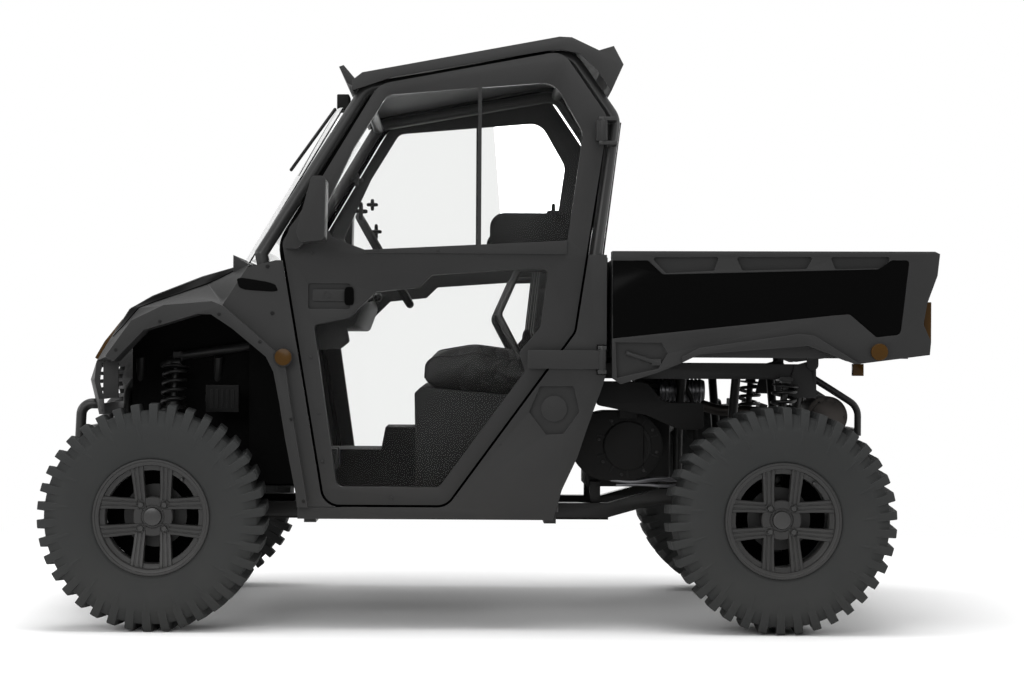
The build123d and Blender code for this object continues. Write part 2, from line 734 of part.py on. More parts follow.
# Front fascia: a swept-back moulded nose with a barred grille and cheeks behind the lamps.
nose_wing_y = hood_half_width - 2.0
nose_centre_y = 300.0
nose_wing = [(1222, 1052), (1291, 950), (1329, 886), (1335, 822), (1320, 760),
             (1302, 760), (1316, 818), (1310, 878), (1274, 940), (1206, 1042)]
nose_centre = [(1268, 1058), (1338, 955), (1378, 886), (1398, 822), (1368, 700),
               (1350, 700), (1378, 818), (1360, 880), (1321, 946), (1250, 1052)]
with BuildPart() as nose:
    for y, profile in ((nose_wing_y, nose_wing), (nose_centre_y, nose_centre)):
        with BuildSketch(side_plane(y)):
            with BuildLine():
                Polyline(*profile, close=True)
            make_face()
    loft(ruled=True)
    mirror(about=Plane.XZ)
    with BuildSketch(side_plane(nose_centre_y)):
        with BuildLine():
            Polyline(*nose_centre, close=True)
        make_face()
    extrude(amount=2 * nose_centre_y)
    for slot_z in (736, 764, 792, 820, 848):
        add(slab((1300, 1450), (-262, 262), (slot_z, slot_z + 16)), mode=Mode.SUBTRACT)
    # cheeks close the fascia's ends in front of the wheels
    for side in (1, -1):
        add(slab((1255, 1306), (side * (nose_wing_y - 14), side * nose_wing_y), (764, 886)))
nose.part.label = "nose"
export_step(nose.part, "parts/nose.step")

# Cowl between the hood and the windscreen.
with BuildPart() as cowl:
    with BuildSketch(side_plane(cage_half_width - cage_radius - 6)):
        with BuildLine():
            Polyline((hood_rear_x - running_gap, 1188), (hood_rear_x - running_gap, 1246),
                     (811, 1213), (735, 1213), (735, 1199), (800, 1199), (850, 1188),
                     close=True)
        make_face()
    extrude(amount=2 * (cage_half_width - cage_radius - 6))
    add(roll_cage.part, mode=Mode.SUBTRACT)
    add(front_fenders.part, mode=Mode.SUBTRACT)
    add(cab_glass.part, mode=Mode.SUBTRACT)
cowl.part.label = "cowl"
export_step(cowl.part, "parts/cowl.step")

# Hood: a lid hinged at the cowl, with a raised centre.
hood_edge = hood_half_width - running_gap
hood_pin_radius = 4.5
hood_pin_length = 60.0
hood_pin_y = 330.0
hood_side = [(hood_rear_x, 1204), (974, 1175), (1141, 1109), (1214, 1067),
             (1208, 1053), (1136, 1094), (970, 1160), (hood_rear_x, 1189)]
hood_middle = [(hood_rear_x, 1216), (980, 1190), (1150, 1128), (1260, 1073),
               (1254, 1059), (1144, 1112), (976, 1174), (hood_rear_x, 1201)]
with BuildPart() as hood:
    for y, profile in ((hood_edge, hood_side), (nose_centre_y, hood_middle)):
        with BuildSketch(side_plane(y)):
            with BuildLine():
                Polyline(*profile, close=True)
            make_face()
    loft(ruled=True)
    mirror(about=Plane.XZ)
    with BuildSketch(side_plane(nose_centre_y)):
        with BuildLine():
            Polyline(*hood_middle, close=True)
        make_face()
    extrude(amount=2 * nose_centre_y)
    for y in (hood_pin_y, -hood_pin_y):
        with Locations(Location((hood_rear_x, y, hood_middle[0][1]), (90, 0, 0))):
            Cylinder(hood_pin_radius, hood_pin_length)
hood.part.label = "hood"
export_step(hood.part, "parts/hood.step")

# Headlamps on the nose's upper corners and round reflectors on the fenders.
lamp_wing = [(1245, 1030), (1306, 953), (1337, 899), (1320, 888), (1289, 942), (1228, 1020)]
lamp_centre = [(x + 38, z + 3) for x, z in lamp_wing]
reflector_radius = 28.0
with BuildPart() as front_lamps:
    for y, profile in ((nose_wing_y - 19, lamp_wing), (nose_centre_y + 35, lamp_centre)):
        with BuildSketch(side_plane(y)):
            with BuildLine():
                Polyline(*profile, close=True)
            make_face()
    loft(ruled=True)
    add(nose.part, mode=Mode.SUBTRACT)
    with BuildSketch(side_plane(flare_y + 5)):
        with Locations((688, 905)):
            Circle(reflector_radius)
    extrude(amount=30)
    add(front_fenders.part, mode=Mode.SUBTRACT)
    mirror(about=Plane.XZ)
front_lamps.part.label = "front_lamps"
export_step(front_lamps.part, "parts/front_lamps.step")

# Front bumper: two tube hoops joined by cross bars.
bumper_radius = 18.0
bumper_y = 300.0
with BuildPart() as front_bumper:
    add(tube(bumper_radius, 40, (1366, bumper_y, 738), (1428, bumper_y, 738),
             (1436, bumper_y, 560), (1400, 260, 430), (rail_front_x - 2, rail_y, 370)))
    mirror(about=Plane.XZ)
    for bar_x, bar_z in ((1433, 640), (1428, 525)):
        add(tube(bumper_radius - 2, 0, (bar_x, -bumper_y, bar_z), (bar_x, bumper_y, bar_z)))
    add(nose.part, mode=Mode.SUBTRACT)
    add(frame.part, mode=Mode.SUBTRACT)
front_bumper.part.label = "front_bumper"
export_step(front_bumper.part, "parts/front_bumper.step")

# Radiator on legs above the winch plate, with its fan behind it.
radiator_low = 530.0
with BuildPart() as radiator:
    add(slab((1246, 1276), (-190, 190), (radiator_low, 790)))
    for foot_y in (-150, 150):
        add(slab((1252, 1270), (foot_y - 12, foot_y + 12),
                 (rail_high + winch_plate, radiator_low + 2)))
    with Locations(Location((1246, 0, 660), (0, -90, 0))):
        Cylinder(112, 30, align=(Align.CENTER, Align.CENTER, Align.MIN))
radiator.part.label = "radiator"
export_step(radiator.part, "parts/radiator.step")

# Skid plate under the rails.
skid = 8.0
with BuildPart() as skid_plate:
    with BuildSketch(side_plane(rail_y + rail_width / 2)):
        with BuildLine():
            Polyline((-420, rail_low), (-420, rail_low - skid), (rail_front_x, rail_low - skid),
                     (rail_front_x + 66, 420), (rail_front_x + 60, 425),
                     (rail_front_x + 1, rail_low), close=True)
        make_face()
    extrude(amount=2 * rail_y + rail_width)
    add(front_bumper.part, mode=Mode.SUBTRACT)
skid_plate.part.label = "skid_plate"
export_step(skid_plate.part, "parts/skid_plate.step")

# Relay box behind the front spring.
with BuildPart() as relay_box:
    add(slab((865, 977), (395, 450), (715, 807)))
    for rib in range(5):
        add(slab((880 + rib * 18, 888 + rib * 18), (449, 456), (730, 792)))
    add(slab((940, 986), (270, 396), (750, 772)))
    add(frame.part, mode=Mode.SUBTRACT)
relay_box.part.label = "relay_box"
export_step(relay_box.part, "parts/relay_box.step")

# Splash guards: a sheet on each side of the front bay, and a nearer one beside the footwell.
guard_sheet = 3.0
bay_guard_y = 309.0
foot_guard_y = 365.0
bay_guard = [(594, 470), (850, 470), (880, 575), (1000, 575), (1250, 700), (1250, 1000),
             (1200, 1046), (1136, 1080), (970, 1146), (872, 1172), (730, 1172),
             *reversed(firewall[1:])]
foot_guard = [(594, 465), (837, 465), (837, 1010), (780, 1040), (716, 1040),
              *reversed(firewall[1:3])]
with BuildPart() as inner_guards:
    for y, outline in ((bay_guard_y, bay_guard), (foot_guard_y, foot_guard)):
        with BuildSketch(side_plane(y)):
            with BuildLine():
                Polyline(*outline, close=True)
            make_face()
        extrude(amount=guard_sheet)
    mirror(about=Plane.XZ)
    add(frame.part, mode=Mode.SUBTRACT)
    add(roll_cage.part, mode=Mode.SUBTRACT)
    add(floor_pan.part, mode=Mode.SUBTRACT)
    add(relay_box.part, mode=Mode.SUBTRACT)
inner_guards.part.label = "inner_guards"
export_step(inner_guards.part, "parts/inner_guards.step")

# Wiper: motor cover under the visor and an arm down the windscreen.
with BuildPart() as wiper:
    add(slab((508, 552), (20, 130), (1790, 1846)))
    add(tube(6, 0, (560, 75, 1800), (706, 260, 1560)))
    add(roof.part, mode=Mode.SUBTRACT)
    add(cab_glass.part, mode=Mode.SUBTRACT)
wiper.part.label = "wiper"
export_step(wiper.part, "parts/wiper.step")

# ---------------------------------------------------------------- engine and driveline

# Engine: a closed block between the rails with its cylinder leaning back.
engine_half = 170.0
clutch_x = -476.0
clutch_z = 605.0
clutch_radius = 120.0
clutch_y = 250.0
with BuildPart() as engine:
    add(slab((-640, -345), (-engine_half, engine_half), (450, 700)))
    with BuildSketch(side_plane(110)):
        with BuildLine():
            Polyline((-480, 690), (-545, 872), (-700, 872), (-650, 690), close=True)
        make_face()
    extrude(amount=220)
    # cooling fins round the cylinder's front and sides
    for fin_z in range(712, 852, 20):
        climb = (fin_z - 690) / 182
        add(slab((-646 - 50 * climb, -468 - 65 * climb), (-122, 122), (fin_z, fin_z + 6)))
    for lug_x, lug_z in ((-375, rail_high), (-620, rail_high + rail_rise)):
        for side in (1, -1):
            add(slab((lug_x - 18, lug_x + 18), (side * (engine_half - 2), side * rail_y),
                     (lug_z, 470)))
    # the crank's end carries the belt drive
    with Locations(Location((clutch_x, engine_half, clutch_z), (-90, 0, 0))):
        Cylinder(44, clutch_y - engine_half, align=(Align.CENTER, Align.CENTER, Align.MIN))
engine.part.label = "engine"
export_step(engine.part, "parts/engine.step")

# Belt drive cover: a stadium with a raised plate over the rear pulley.
with BuildPart() as belt_cover:
    with BuildSketch(side_plane(clutch_y + 150)):
        SlotCenterPoint((clutch_x + 36, clutch_z), (clutch_x + 72, clutch_z),
                        2 * clutch_radius)
        with Locations((clutch_x, clutch_z)):
            Circle(clutch_radius)
    extrude(amount=150)
    with BuildSketch(side_plane(clutch_y + 162)):
        with Locations((clutch_x, clutch_z)):
            Circle(84)
        with Locations((clutch_x - 84, clutch_z)):
            Rectangle(60, 168, mode=Mode.SUBTRACT)
    extrude(amount=14)
belt_cover.part.label = "belt_cover"
export_step(belt_cover.part, "parts/belt_cover.step")

# Air duct from behind the cab down to the belt drive.
duct_outer_y = 480.0
duct_inner_y = 405.0
duct = [(-370, 828, 20), (-534, 828, 60), (-594, 757, 60), (-728, 757, 16), (-731, 664, 16),
        (-646, 664, 60), (-536, 712, 60), (-365, 746, 12)]
with BuildPart() as intake_duct:
    with BuildSketch(side_plane(duct_outer_y)):
        add(area(duct))
    extrude(amount=duct_outer_y - duct_inner_y)
    add(slab((-508, -444), (duct_inner_y - 60, duct_inner_y + 20), (700, 770)))
    add(belt_cover.part, mode=Mode.SUBTRACT)
intake_duct.part.label = "intake_duct"
export_step(intake_duct.part, "parts/intake_duct.step")

# Muffler across the tail, hung from the rear member, with the pipe from the engine.
muffler_x = -1190.0
muffler_z = 705.0
muffler_radius = 72.0
muffler_half = 240.0
with BuildPart() as muffler:
    with Locations(Location((muffler_x, 0, muffler_z), (90, 0, 0))):
        Cylinder(muffler_radius, 2 * muffler_half)
        Cylinder(muffler_radius - 16, 2 * muffler_half + 20)
    add(slab((rail_rear_x - 6, rail_rear_x + 10), (-20, 20), (740, 876)))
    add(tube(20, 80, (-660, 0, 772), (-830, 0, 720), (muffler_x + 40, 0, muffler_z)))
    add(engine.part, mode=Mode.SUBTRACT)
    add(frame.part, mode=Mode.SUBTRACT)
muffler.part.label = "muffler"
export_step(muffler.part, "parts/muffler.step")

# Driveline: both axle gearboxes, the half shafts with their boots and the propeller shaft.
shaft_radius = 14.0
boot_radius = 30.0
front_shaft_end = kingpin_y - 32.0
rear_shaft_end = rear_hub_y - 32.0
gearbox_half = 85.0
with BuildPart() as driveline:
    for box_x, box_z, box_radius in (
        (front_axle_x, front_diff_z, 60),
        (rear_axle_x, axle_z, 72),
    ):
        with Locations(Location((box_x, 0, box_z), (90, 0, 0))):
            Cylinder(box_radius, 2 * gearbox_half)
    add(slab((front_axle_x - 58, front_axle_x - 18), (-rail_y - 8, rail_y + 8),
             (rail_high, rail_high + 12)))
    add(slab((rear_axle_x - 55, rear_axle_x - 25), (-rail_y, rail_y),
             (rail_high - 12, rail_high)))
    add(slab((rear_axle_x + 25, rear_axle_x + 55), (-rail_y, rail_y),
             (rail_high - 12, rail_high)))
    for box_x, box_z, end_y in (
        (front_axle_x, front_diff_z, front_shaft_end),
        (rear_axle_x, axle_z, rear_shaft_end),
    ):
        for side in (1, -1):
            inner = (box_x, side * (gearbox_half - 5), box_z)
            outer = (box_x, side * end_y, axle_z)
            near = Vector(*inner) + (Vector(*outer) - Vector(*inner)) * 0.12
            far = Vector(*inner) + (Vector(*outer) - Vector(*inner)) * 0.88
            add(tube(shaft_radius, 0, inner, outer))
            add(tube(boot_radius, 0, inner, tuple(near)))
            add(tube(boot_radius, 0, tuple(far), outer))
    add(tube(shaft_radius, 0, (560, 0, front_diff_z), (front_axle_x - 40, 0, front_diff_z)))
    add(floor_pan.part, mode=Mode.SUBTRACT)
    add(frame.part, mode=Mode.SUBTRACT)
driveline.part.label = "driveline"
export_step(driveline.part, "parts/driveline.step")

# Steering rack: a bar with tie rods, sliding in a housing fixed to the rails.
rack_x = front_axle_x - steer_arm
rack_radius = 10.0
rack_play = 0.5
rack_end = kingpin_y - 48.0
with BuildPart() as rack_housing:
    with Locations(Location((rack_x, 0, rack_z), (90, 0, 0))):
        Cylinder(rack_radius + 6, 2 * rail_y + 10)
    for side in (1, -1):
        add(slab((rack_x - 16, rack_x + 16), (side * (rail_y - 18), side * (rail_y + 5)),
                 (rail_high, rack_z)))
    with Locations(Location((rack_x, 0, rack_z), (90, 0, 0))):
        Cylinder(rack_radius + rack_play, 2 * rail_y + 40, mode=Mode.SUBTRACT)
rack_housing.part.label = "rack_housing"
export_step(rack_housing.part, "parts/rack_housing.step")

with BuildPart() as steering_rack:
    with Locations(Location((rack_x, 0, rack_z), (90, 0, 0))):
        Cylinder(rack_radius, 2 * rack_end - 40)
        Cylinder(rack_radius - 2, 2 * rack_end)
steering_rack.part.label = "steering_rack"
export_step(steering_rack.part, "parts/steering_rack.step")

# ---------------------------------------------------------------- suspension

# Wishbones: two legs from sleeves on the frame to a cup at the wheel.
leg_radius = 13.0
sleeve_radius = 20.0
pivot_y = 262.0
cup_radius = 20.0
cup_height = 22.0
knuckle_low = 290.0
knuckle_high = 486.0
cup_gap = 8.0
cup_pin_radius = 9.0
cup_pin_play = 0.5
cup_pin = 30.0


def leg_point(axle, spread, low, hub_y, cup_z, share):
    """The point at a share of the way out along a wishbone's leg at +X of the axle."""
    inner = Vector(axle + spread, pivot_y, low)
    return inner + (Vector(axle, hub_y - 14, cup_z) - inner) * share


def wishbone(axle, spread, low, hub_y, cup_z, pin_up):
    """Two legs, their sleeves, and the cup with its pin for one side of an axle."""
    with BuildPart() as arm:
        for end in (-spread, spread):
            add(tube(leg_radius, 0, (axle + end, pivot_y, low), (axle, hub_y - 14, cup_z)))
            with Locations(Location((axle + end, pivot_y, low), (0, 90, 0))):
                Cylinder(sleeve_radius, 56)
        with Locations((axle, hub_y, cup_z)):
            Cylinder(cup_radius, cup_height)
        with Locations((axle, hub_y, cup_z + pin_up * (cup_height + cup_pin) / 2)):
            Cylinder(cup_pin_radius, cup_pin)
    return arm.part


low_cup_z = knuckle_low - cup_gap - cup_height / 2
high_cup_z = knuckle_high + cup_gap + cup_height / 2
front_rest = leg_point(front_axle_x, 150, 540, kingpin_y, high_cup_z, 0.546)
rear_rest = leg_point(rear_axle_x, 110, 560, rear_hub_y, high_cup_z, 0.565)
with BuildPart() as front_arms:
    add(wishbone(front_axle_x, 150, 370, kingpin_y, low_cup_z, 1))
    add(wishbone(front_axle_x, 150, 540, kingpin_y, high_cup_z, -1))
    add(tube(10, 0, (2 * front_axle_x - front_rest.X, front_rest.Y, front_rest.Z),
             tuple(front_rest)))
    mirror(about=Plane.XZ)
    add(frame.part, mode=Mode.SUBTRACT)
front_arms.part.label = "front_arms"
export_step(front_arms.part, "parts/front_arms.step")

with BuildPart() as rear_hubs:
    with Locations((rear_axle_x, rear_hub_y, (knuckle_low + knuckle_high) / 2)):
        Cylinder(22, knuckle_high - knuckle_low)
        Cylinder(cup_pin_radius + cup_pin_play, knuckle_high - knuckle_low + 2,
                 mode=Mode.SUBTRACT)
    with Locations(Location((rear_axle_x, rear_hub_y, axle_z), (-90, 0, 0))):
        Cylinder(stub_radius, stub_end - rear_hub_y,
                 align=(Align.CENTER, Align.CENTER, Align.MIN))
    add(slab((rear_axle_x + 30, rear_axle_x + 90), (disc_y - 22, disc_y - 7),
             (axle_z - 20, axle_z + 50)))
    add(slab((rear_axle_x + 10, rear_axle_x + 40), (rear_hub_y - 6, disc_y - 14),
             (axle_z - 12, axle_z + 12)))
    mirror(about=Plane.XZ)
rear_hubs.part.label = "rear_hubs"
export_step(rear_hubs.part, "parts/rear_hubs.step")

with BuildPart() as rear_arms:
    add(wishbone(rear_axle_x, 150, 420, rear_hub_y, low_cup_z, 1))
    add(wishbone(rear_axle_x, 110, 560, rear_hub_y, high_cup_z, -1))
    add(tube(10, 0, (2 * rear_axle_x - rear_rest.X, rear_rest.Y, rear_rest.Z),
             tuple(rear_rest)))
    mirror(about=Plane.XZ)
    add(frame.part, mode=Mode.SUBTRACT)
    add(rear_hubs.part, mode=Mode.SUBTRACT)
rear_arms.part.label = "rear_arms"
export_step(rear_arms.part, "parts/rear_arms.step")

# Shocks: a damper inside a coil spring, drawn as its outer sleeve, between two plates.
spring_radius = 46.0
front_shock_foot = (front_axle_x - 18, front_rest.Y, front_rest.Z + 6)
front_shock_head = (front_axle_x - 30, 392, front_top_z - 18)
rear_shock_foot = (rear_axle_x - 22, rear_rest.Y, rear_rest.Z + 6)
rear_shock_head = (rear_shock_x, rear_shock_y, rear_shock_z)
with BuildPart() as shocks:
    for foot, head, spring in (
        (front_shock_foot, front_shock_head, 0.58),
        (rear_shock_foot, rear_shock_head, 0.72),
    ):
        rise = Vector(*head) - Vector(*foot)
        seat_low = Vector(*head) - rise * (spring + 0.06)
        seat_high = Vector(*head) - rise * 0.06
        add(tube(20, 0, foot, head))
        add(tube(spring_radius - 2, 0, tuple(seat_low), tuple(seat_high)))
        for seat in (seat_low, seat_high):
            add(tube(spring_radius, 0, tuple(seat), tuple(seat + rise.normalized() * 8)))
    mirror(about=Plane.XZ)
    add(frame.part, mode=Mode.SUBTRACT)
    add(front_arms.part, mode=Mode.SUBTRACT)
    add(rear_arms.part, mode=Mode.SUBTRACT)
shocks.part.label = "shocks"
export_step(shocks.part, "parts/shocks.step")

# Steering knuckles: an upright on the two cups, the stub axle, caliper and steering arm.
with BuildPart() as knuckle_left:
    with Locations((front_axle_x, kingpin_y, (knuckle_low + knuckle_high) / 2)):
        Cylinder(22, knuckle_high - knuckle_low)
        Cylinder(cup_pin_radius + cup_pin_play, knuckle_high - knuckle_low + 2,
                 mode=Mode.SUBTRACT)
    with Locations(Location((front_axle_x, kingpin_y, axle_z), (-90, 0, 0))):
        Cylinder(stub_radius, stub_end - kingpin_y,
                 align=(Align.CENTER, Align.CENTER, Align.MIN))
    add(tube(9, 0, (front_axle_x, kingpin_y, rack_z), (rack_x, kingpin_y - 20, rack_z)))
    with Locations((rack_x, kingpin_y - 20, rack_z)):
        Cylinder(14, 20)
    add(slab((front_axle_x + 30, front_axle_x + 90), (disc_y - 20, disc_y - 7),
             (axle_z - 20, axle_z + 50)))
    add(slab((front_axle_x + 10, front_axle_x + 40), (kingpin_y - 6, disc_y - 14),
             (axle_z - 12, axle_z + 12)))
knuckle_left.part.label = "knuckle_left"
export_step(knuckle_left.part, "parts/knuckle_left.step")

with BuildPart() as knuckle_right:
    add(knuckle_left.part)
    mirror(about=Plane.XZ, mode=Mode.REPLACE)
knuckle_right.part.label = "knuckle_right"
export_step(knuckle_right.part, "parts/knuckle_right.step")

# ---------------------------------------------------------------- wheels

# Wheels: a barrel with flanges, eight spokes in four pairs, hub, nuts, cap and brake disc.
flange_width = 7.0
hub_thickness = 26.0
spoke_root = 62.0
spoke_root_turn = 39.5
spoke_end_turn = 16.0
cap_radius = 38.0
disc_radius = 105.0
bearing_play = 0.5
bead_gap = 5.0
lug_count = 38
lug_foot = 28.0
lug_top = 26.0
lug_shift = 10.0
lug_end = 0.86
sidewall_radius = 300.0
carcass_radius = 350.0


def wheel_rim(axle, middle, half):
    """A left-hand rim; middle is its Y, half is half the width of its tyre."""
    flange_y = half - flange_inset
    face = middle + flange_y - hub_inset
    edge = flange_y - flange_width
    rim_inner = bead_radius - rim_wall
    bolt_angle = 45
    root = (spoke_root * cos(radians(spoke_root_turn)), spoke_root * sin(radians(spoke_root_turn)))
    end = (rim_inner * cos(radians(spoke_end_turn)), rim_inner * sin(radians(spoke_end_turn)))
    lean = Vector(end[0] - root[0], end[1] - root[1], 0)
    with BuildPart() as rim:
        for quarter_turn in range(4):
            for side in (1, -1):
                start = Vector(root[0], 0, side * root[1]).rotate(Axis.Y, 90 * quarter_turn)
                along = Vector(lean.X, 0, side * lean.Y).rotate(Axis.Y, 90 * quarter_turn)
                across = along.cross(Vector(0, 1, 0))
                spoke_plane = Plane(origin=(axle + start.X, face, axle_z + start.Z),
                                    x_dir=tuple(along), z_dir=tuple(across))
                with BuildSketch(spoke_plane):
                    with BuildLine():
                        Polyline((-16, 0), (10, 0), (lean.length + 16, hub_inset - 14),
                                 (lean.length + 16, hub_inset - 14 - spoke_depth),
                                 (20, -hub_thickness), (-16, -hub_thickness), close=True)
                    make_face()
                extrude(amount=spoke_width / 2, both=True)
        with Locations(Location((axle, face, axle_z), (90, 0, 0))):
            Cylinder(rim_inner + 3, 400, mode=Mode.INTERSECT)
        with Locations(Location((axle, face, axle_z), (90, 0, 0))):
            Cylinder(hub_radius, hub_thickness, align=(Align.CENTER, Align.CENTER, Align.MIN))
            Cylinder(stub_radius + 18, face - disc_y,
                     align=(Align.CENTER, Align.CENTER, Align.MIN))
        with Locations(Location((axle, disc_y, axle_z), (-90, 0, 0))):
            Cylinder(disc_radius, 6, align=(Align.CENTER, Align.CENTER, Align.MIN))
            Cylinder(stub_radius + bearing_play, stub_end + 3 - disc_y, mode=Mode.SUBTRACT,
                     align=(Align.CENTER, Align.CENTER, Align.MIN))
        with Locations(Location((axle, face, axle_z), (-90, 0, 0))):
            Cylinder(cap_radius, 16, align=(Align.CENTER, Align.CENTER, Align.MIN))
            with PolarLocations(bolt_circle / 2, 4, start_angle=bolt_angle):
                Cylinder(lug_nut_radius, 14, align=(Align.CENTER, Align.CENTER, Align.MIN))
        with BuildSketch(Plane.XY.offset(axle_z)):
            with BuildLine():
                Polyline(
                    (axle + rim_inner, middle - flange_y), (axle + flange_radius, middle - flange_y),
                    (axle + flange_radius, middle - edge), (axle + bead_radius, middle - edge),
                    (axle + bead_radius, middle + edge), (axle + flange_radius, middle + edge),
                    (axle + flange_radius, middle + flange_y),
                    (axle + rim_inner, middle + flange_y), close=True,
                )
            make_face()
        revolve(axis=Axis((axle, 0, axle_z), (0, 1, 0)))
    return rim.part


def closed_solid(*loops):
    """A solid with flat faces, each given by the corners of its loop."""
    return Solid(Shell([Face(Wire.make_polygon([Vector(*p) for p in loop])) for loop in loops]))


def wheel_tyre(axle, middle, half):
    """A left-hand tyre with a flat facet and a slanted lug for each pitch of its tread."""
    edge = half - flange_inset - flange_width - bead_gap
    shoulder = 0.84 * half
    rows = [(bead_radius, edge), (sidewall_radius, half), (carcass_radius, shoulder),
            (carcass_radius, -shoulder), (sidewall_radius, -half), (bead_radius, -edge)]
    pitch = 2 * pi / lug_count

    def turned(tangent, width, radius, number):
        """A point of facet `number`, given along its tangent, its width and its radius."""
        angle = number * pitch
        return (axle + tangent * cos(angle) + radius * sin(angle), middle + width,
                axle_z + tangent * sin(angle) - radius * cos(angle))

    facets = []
    lugs = []
    for number in range(lug_count):
        for row in range(len(rows)):
            (r0, w0), (r1, w1) = rows[row - 1], rows[row]
            t0, t1 = r0 * tan(pitch / 2), r1 * tan(pitch / 2)
            facets.append([turned(-t0, w0, r0, number), turned(t0, w0, r0, number),
                           turned(t1, w1, r1, number), turned(-t1, w1, r1, number)])
        corners = []
        for radius, width, lug_half in (
            (sidewall_radius, half, lug_foot / 2),
            (tyre_radius, lug_end * half, lug_top / 2),
        ):
            corners.append([
                turned(lug_shift * w / half + t, w, radius, number)
                for w, t in ((width, lug_half), (width, -lug_half), (-width, -lug_half),
                             (-width, lug_half))
            ])
        low, high = corners
        sides = [[low[i - 1], low[i], high[i], high[i - 1]] for i in range(4)]
        lugs.append(closed_solid(low, high, *sides))
    with BuildPart() as tyre:
        add(closed_solid(*facets))
        add(lugs)
    return tyre.part


for end, axle, middle, half in (
    ("front", front_axle_x, front_wheel_y, front_tyre_width / 2),
    ("rear", rear_axle_x, rear_wheel_y, rear_tyre_width / 2),
):
    for kind, make in (("rim", wheel_rim), ("tyre", wheel_tyre)):
        with BuildPart() as wheel_left:
            add(make(axle, middle, half))
        wheel_left.part.label = f"wheel_{end}_left_{kind}"
        export_step(wheel_left.part, f"parts/wheel_{end}_left_{kind}.step")
        with BuildPart() as wheel_right:
            add(wheel_left.part)
            mirror(about=Plane.XZ, mode=Mode.REPLACE)
        wheel_right.part.label = f"wheel_{end}_right_{kind}"
        export_step(wheel_right.part, f"parts/wheel_{end}_right_{kind}.step")

# ---------------------------------------------------------------- load bed

# Bed tub: floor, front wall and inner sides, with the ears and pins it tips on.
tub_rear_x = -1384.0
tub_wall = 25.0
rail_under = 1236.0
gate_pin_radius = 6.0
gate_pin_play = 0.5
gate_pivot_z = 948.0
ear_inner_y = bed_rail_y + bed_rail_width / 2 + tip_plate + running_gap
with BuildPart() as bed_tub:
    floor_top = bed_floor_low + bed_floor_thickness
    add(slab((tub_rear_x, bed_front_x), (-bed_skin_inner, bed_skin_inner),
             (bed_floor_low, floor_top)))
    add(slab((bed_front_x - tub_wall, bed_front_x), (-bed_skin_inner, bed_skin_inner),
             (floor_top, rail_under)))
    for side in (1, -1):
        add(slab((tailgate_x - 25, bed_front_x), (side * bed_inner_half, side * bed_skin_inner),
                 (floor_top - 4, rail_under)))
        add(slab((tip_x - 20, tip_x + 20), (side * ear_inner_y, side * (ear_inner_y + 10)),
                 (tip_z, bed_floor_low)))
        for pin_low, pin_high, radius in (
            (ear_inner_y, ear_inner_y + 10, 20),
            (bed_rail_y + bed_rail_width / 2 + 2, ear_inner_y, tip_pin_radius),
        ):
            with Locations(Location((tip_x, side * (pin_low + pin_high) / 2, tip_z),
                                    (90, 0, 0))):
                Cylinder(radius, pin_high - pin_low)
    # ribs pressed into the load floor
    for rib_y in range(-480, 481, 160):
        add(slab((tub_rear_x + 40, bed_front_x - 90), (rib_y - 25, rib_y + 25),
                 (floor_top, floor_top + 5)))
    with Locations(Location((tailgate_x, 0, gate_pivot_z), (90, 0, 0))):
        Cylinder(gate_pin_radius + gate_pin_play, 2 * bed_skin_inner + 10, mode=Mode.SUBTRACT)
bed_tub.part.label = "bed_tub"
export_step(bed_tub.part, "parts/bed_tub.step")

# Outer bed sides: a deep moulding with rail pockets, a latch pocket and a flare lip.
bed_outline = [
    (-397, 1262), (-1463, 1266), (-1480, 1258), (-1472, 1186), (-1438, 1093), (-1426, 1025),
    (-1452, 967), (-1448, 924), (-1220, 894), (-1178, 902), (-1043, 952), (-687, 922),
    (-630, 894), (-546, 860), (-428, 822), (-399, 842),
]
bed_lip = [(-628, 913), (-687, 943), (-1017, 991), (-1066, 985), (-1149, 933), (-1215, 893),
           (-1200, 893), (-1140, 915), (-1043, 952), (-687, 922), (-630, 896)]
bed_panel = [
    (-399, 1230, 2), (-515, 1231, 12), (-565, 1185, 16), (-1274, 1206, 16), (-1320, 1236, 12),
    (-1379, 1236, 10), (-1351, 991, 20), (-1271, 982, 10), (-1182, 1058, 20),
    (-1127, 1053, 20), (-399, 973, 2),
]
rail_pockets = [
    [(-523, 1243, 8), (-750, 1245, 8), (-734, 1198, 8), (-574, 1189, 8)],
    [(-805, 1245, 8), (-1062, 1247, 8), (-1038, 1205, 8), (-827, 1199, 8)],
    [(-1116, 1247, 8), (-1320, 1248, 8), (-1295, 1210, 8), (-1134, 1205, 8)],
]
latch_pocket = [(-400, 969, 8), (-566, 968, 10), (-591, 924, 10), (-556, 866, 10),
                (-406, 832, 6)]
panel_depth = 8.0
pocket_depth = 18.0
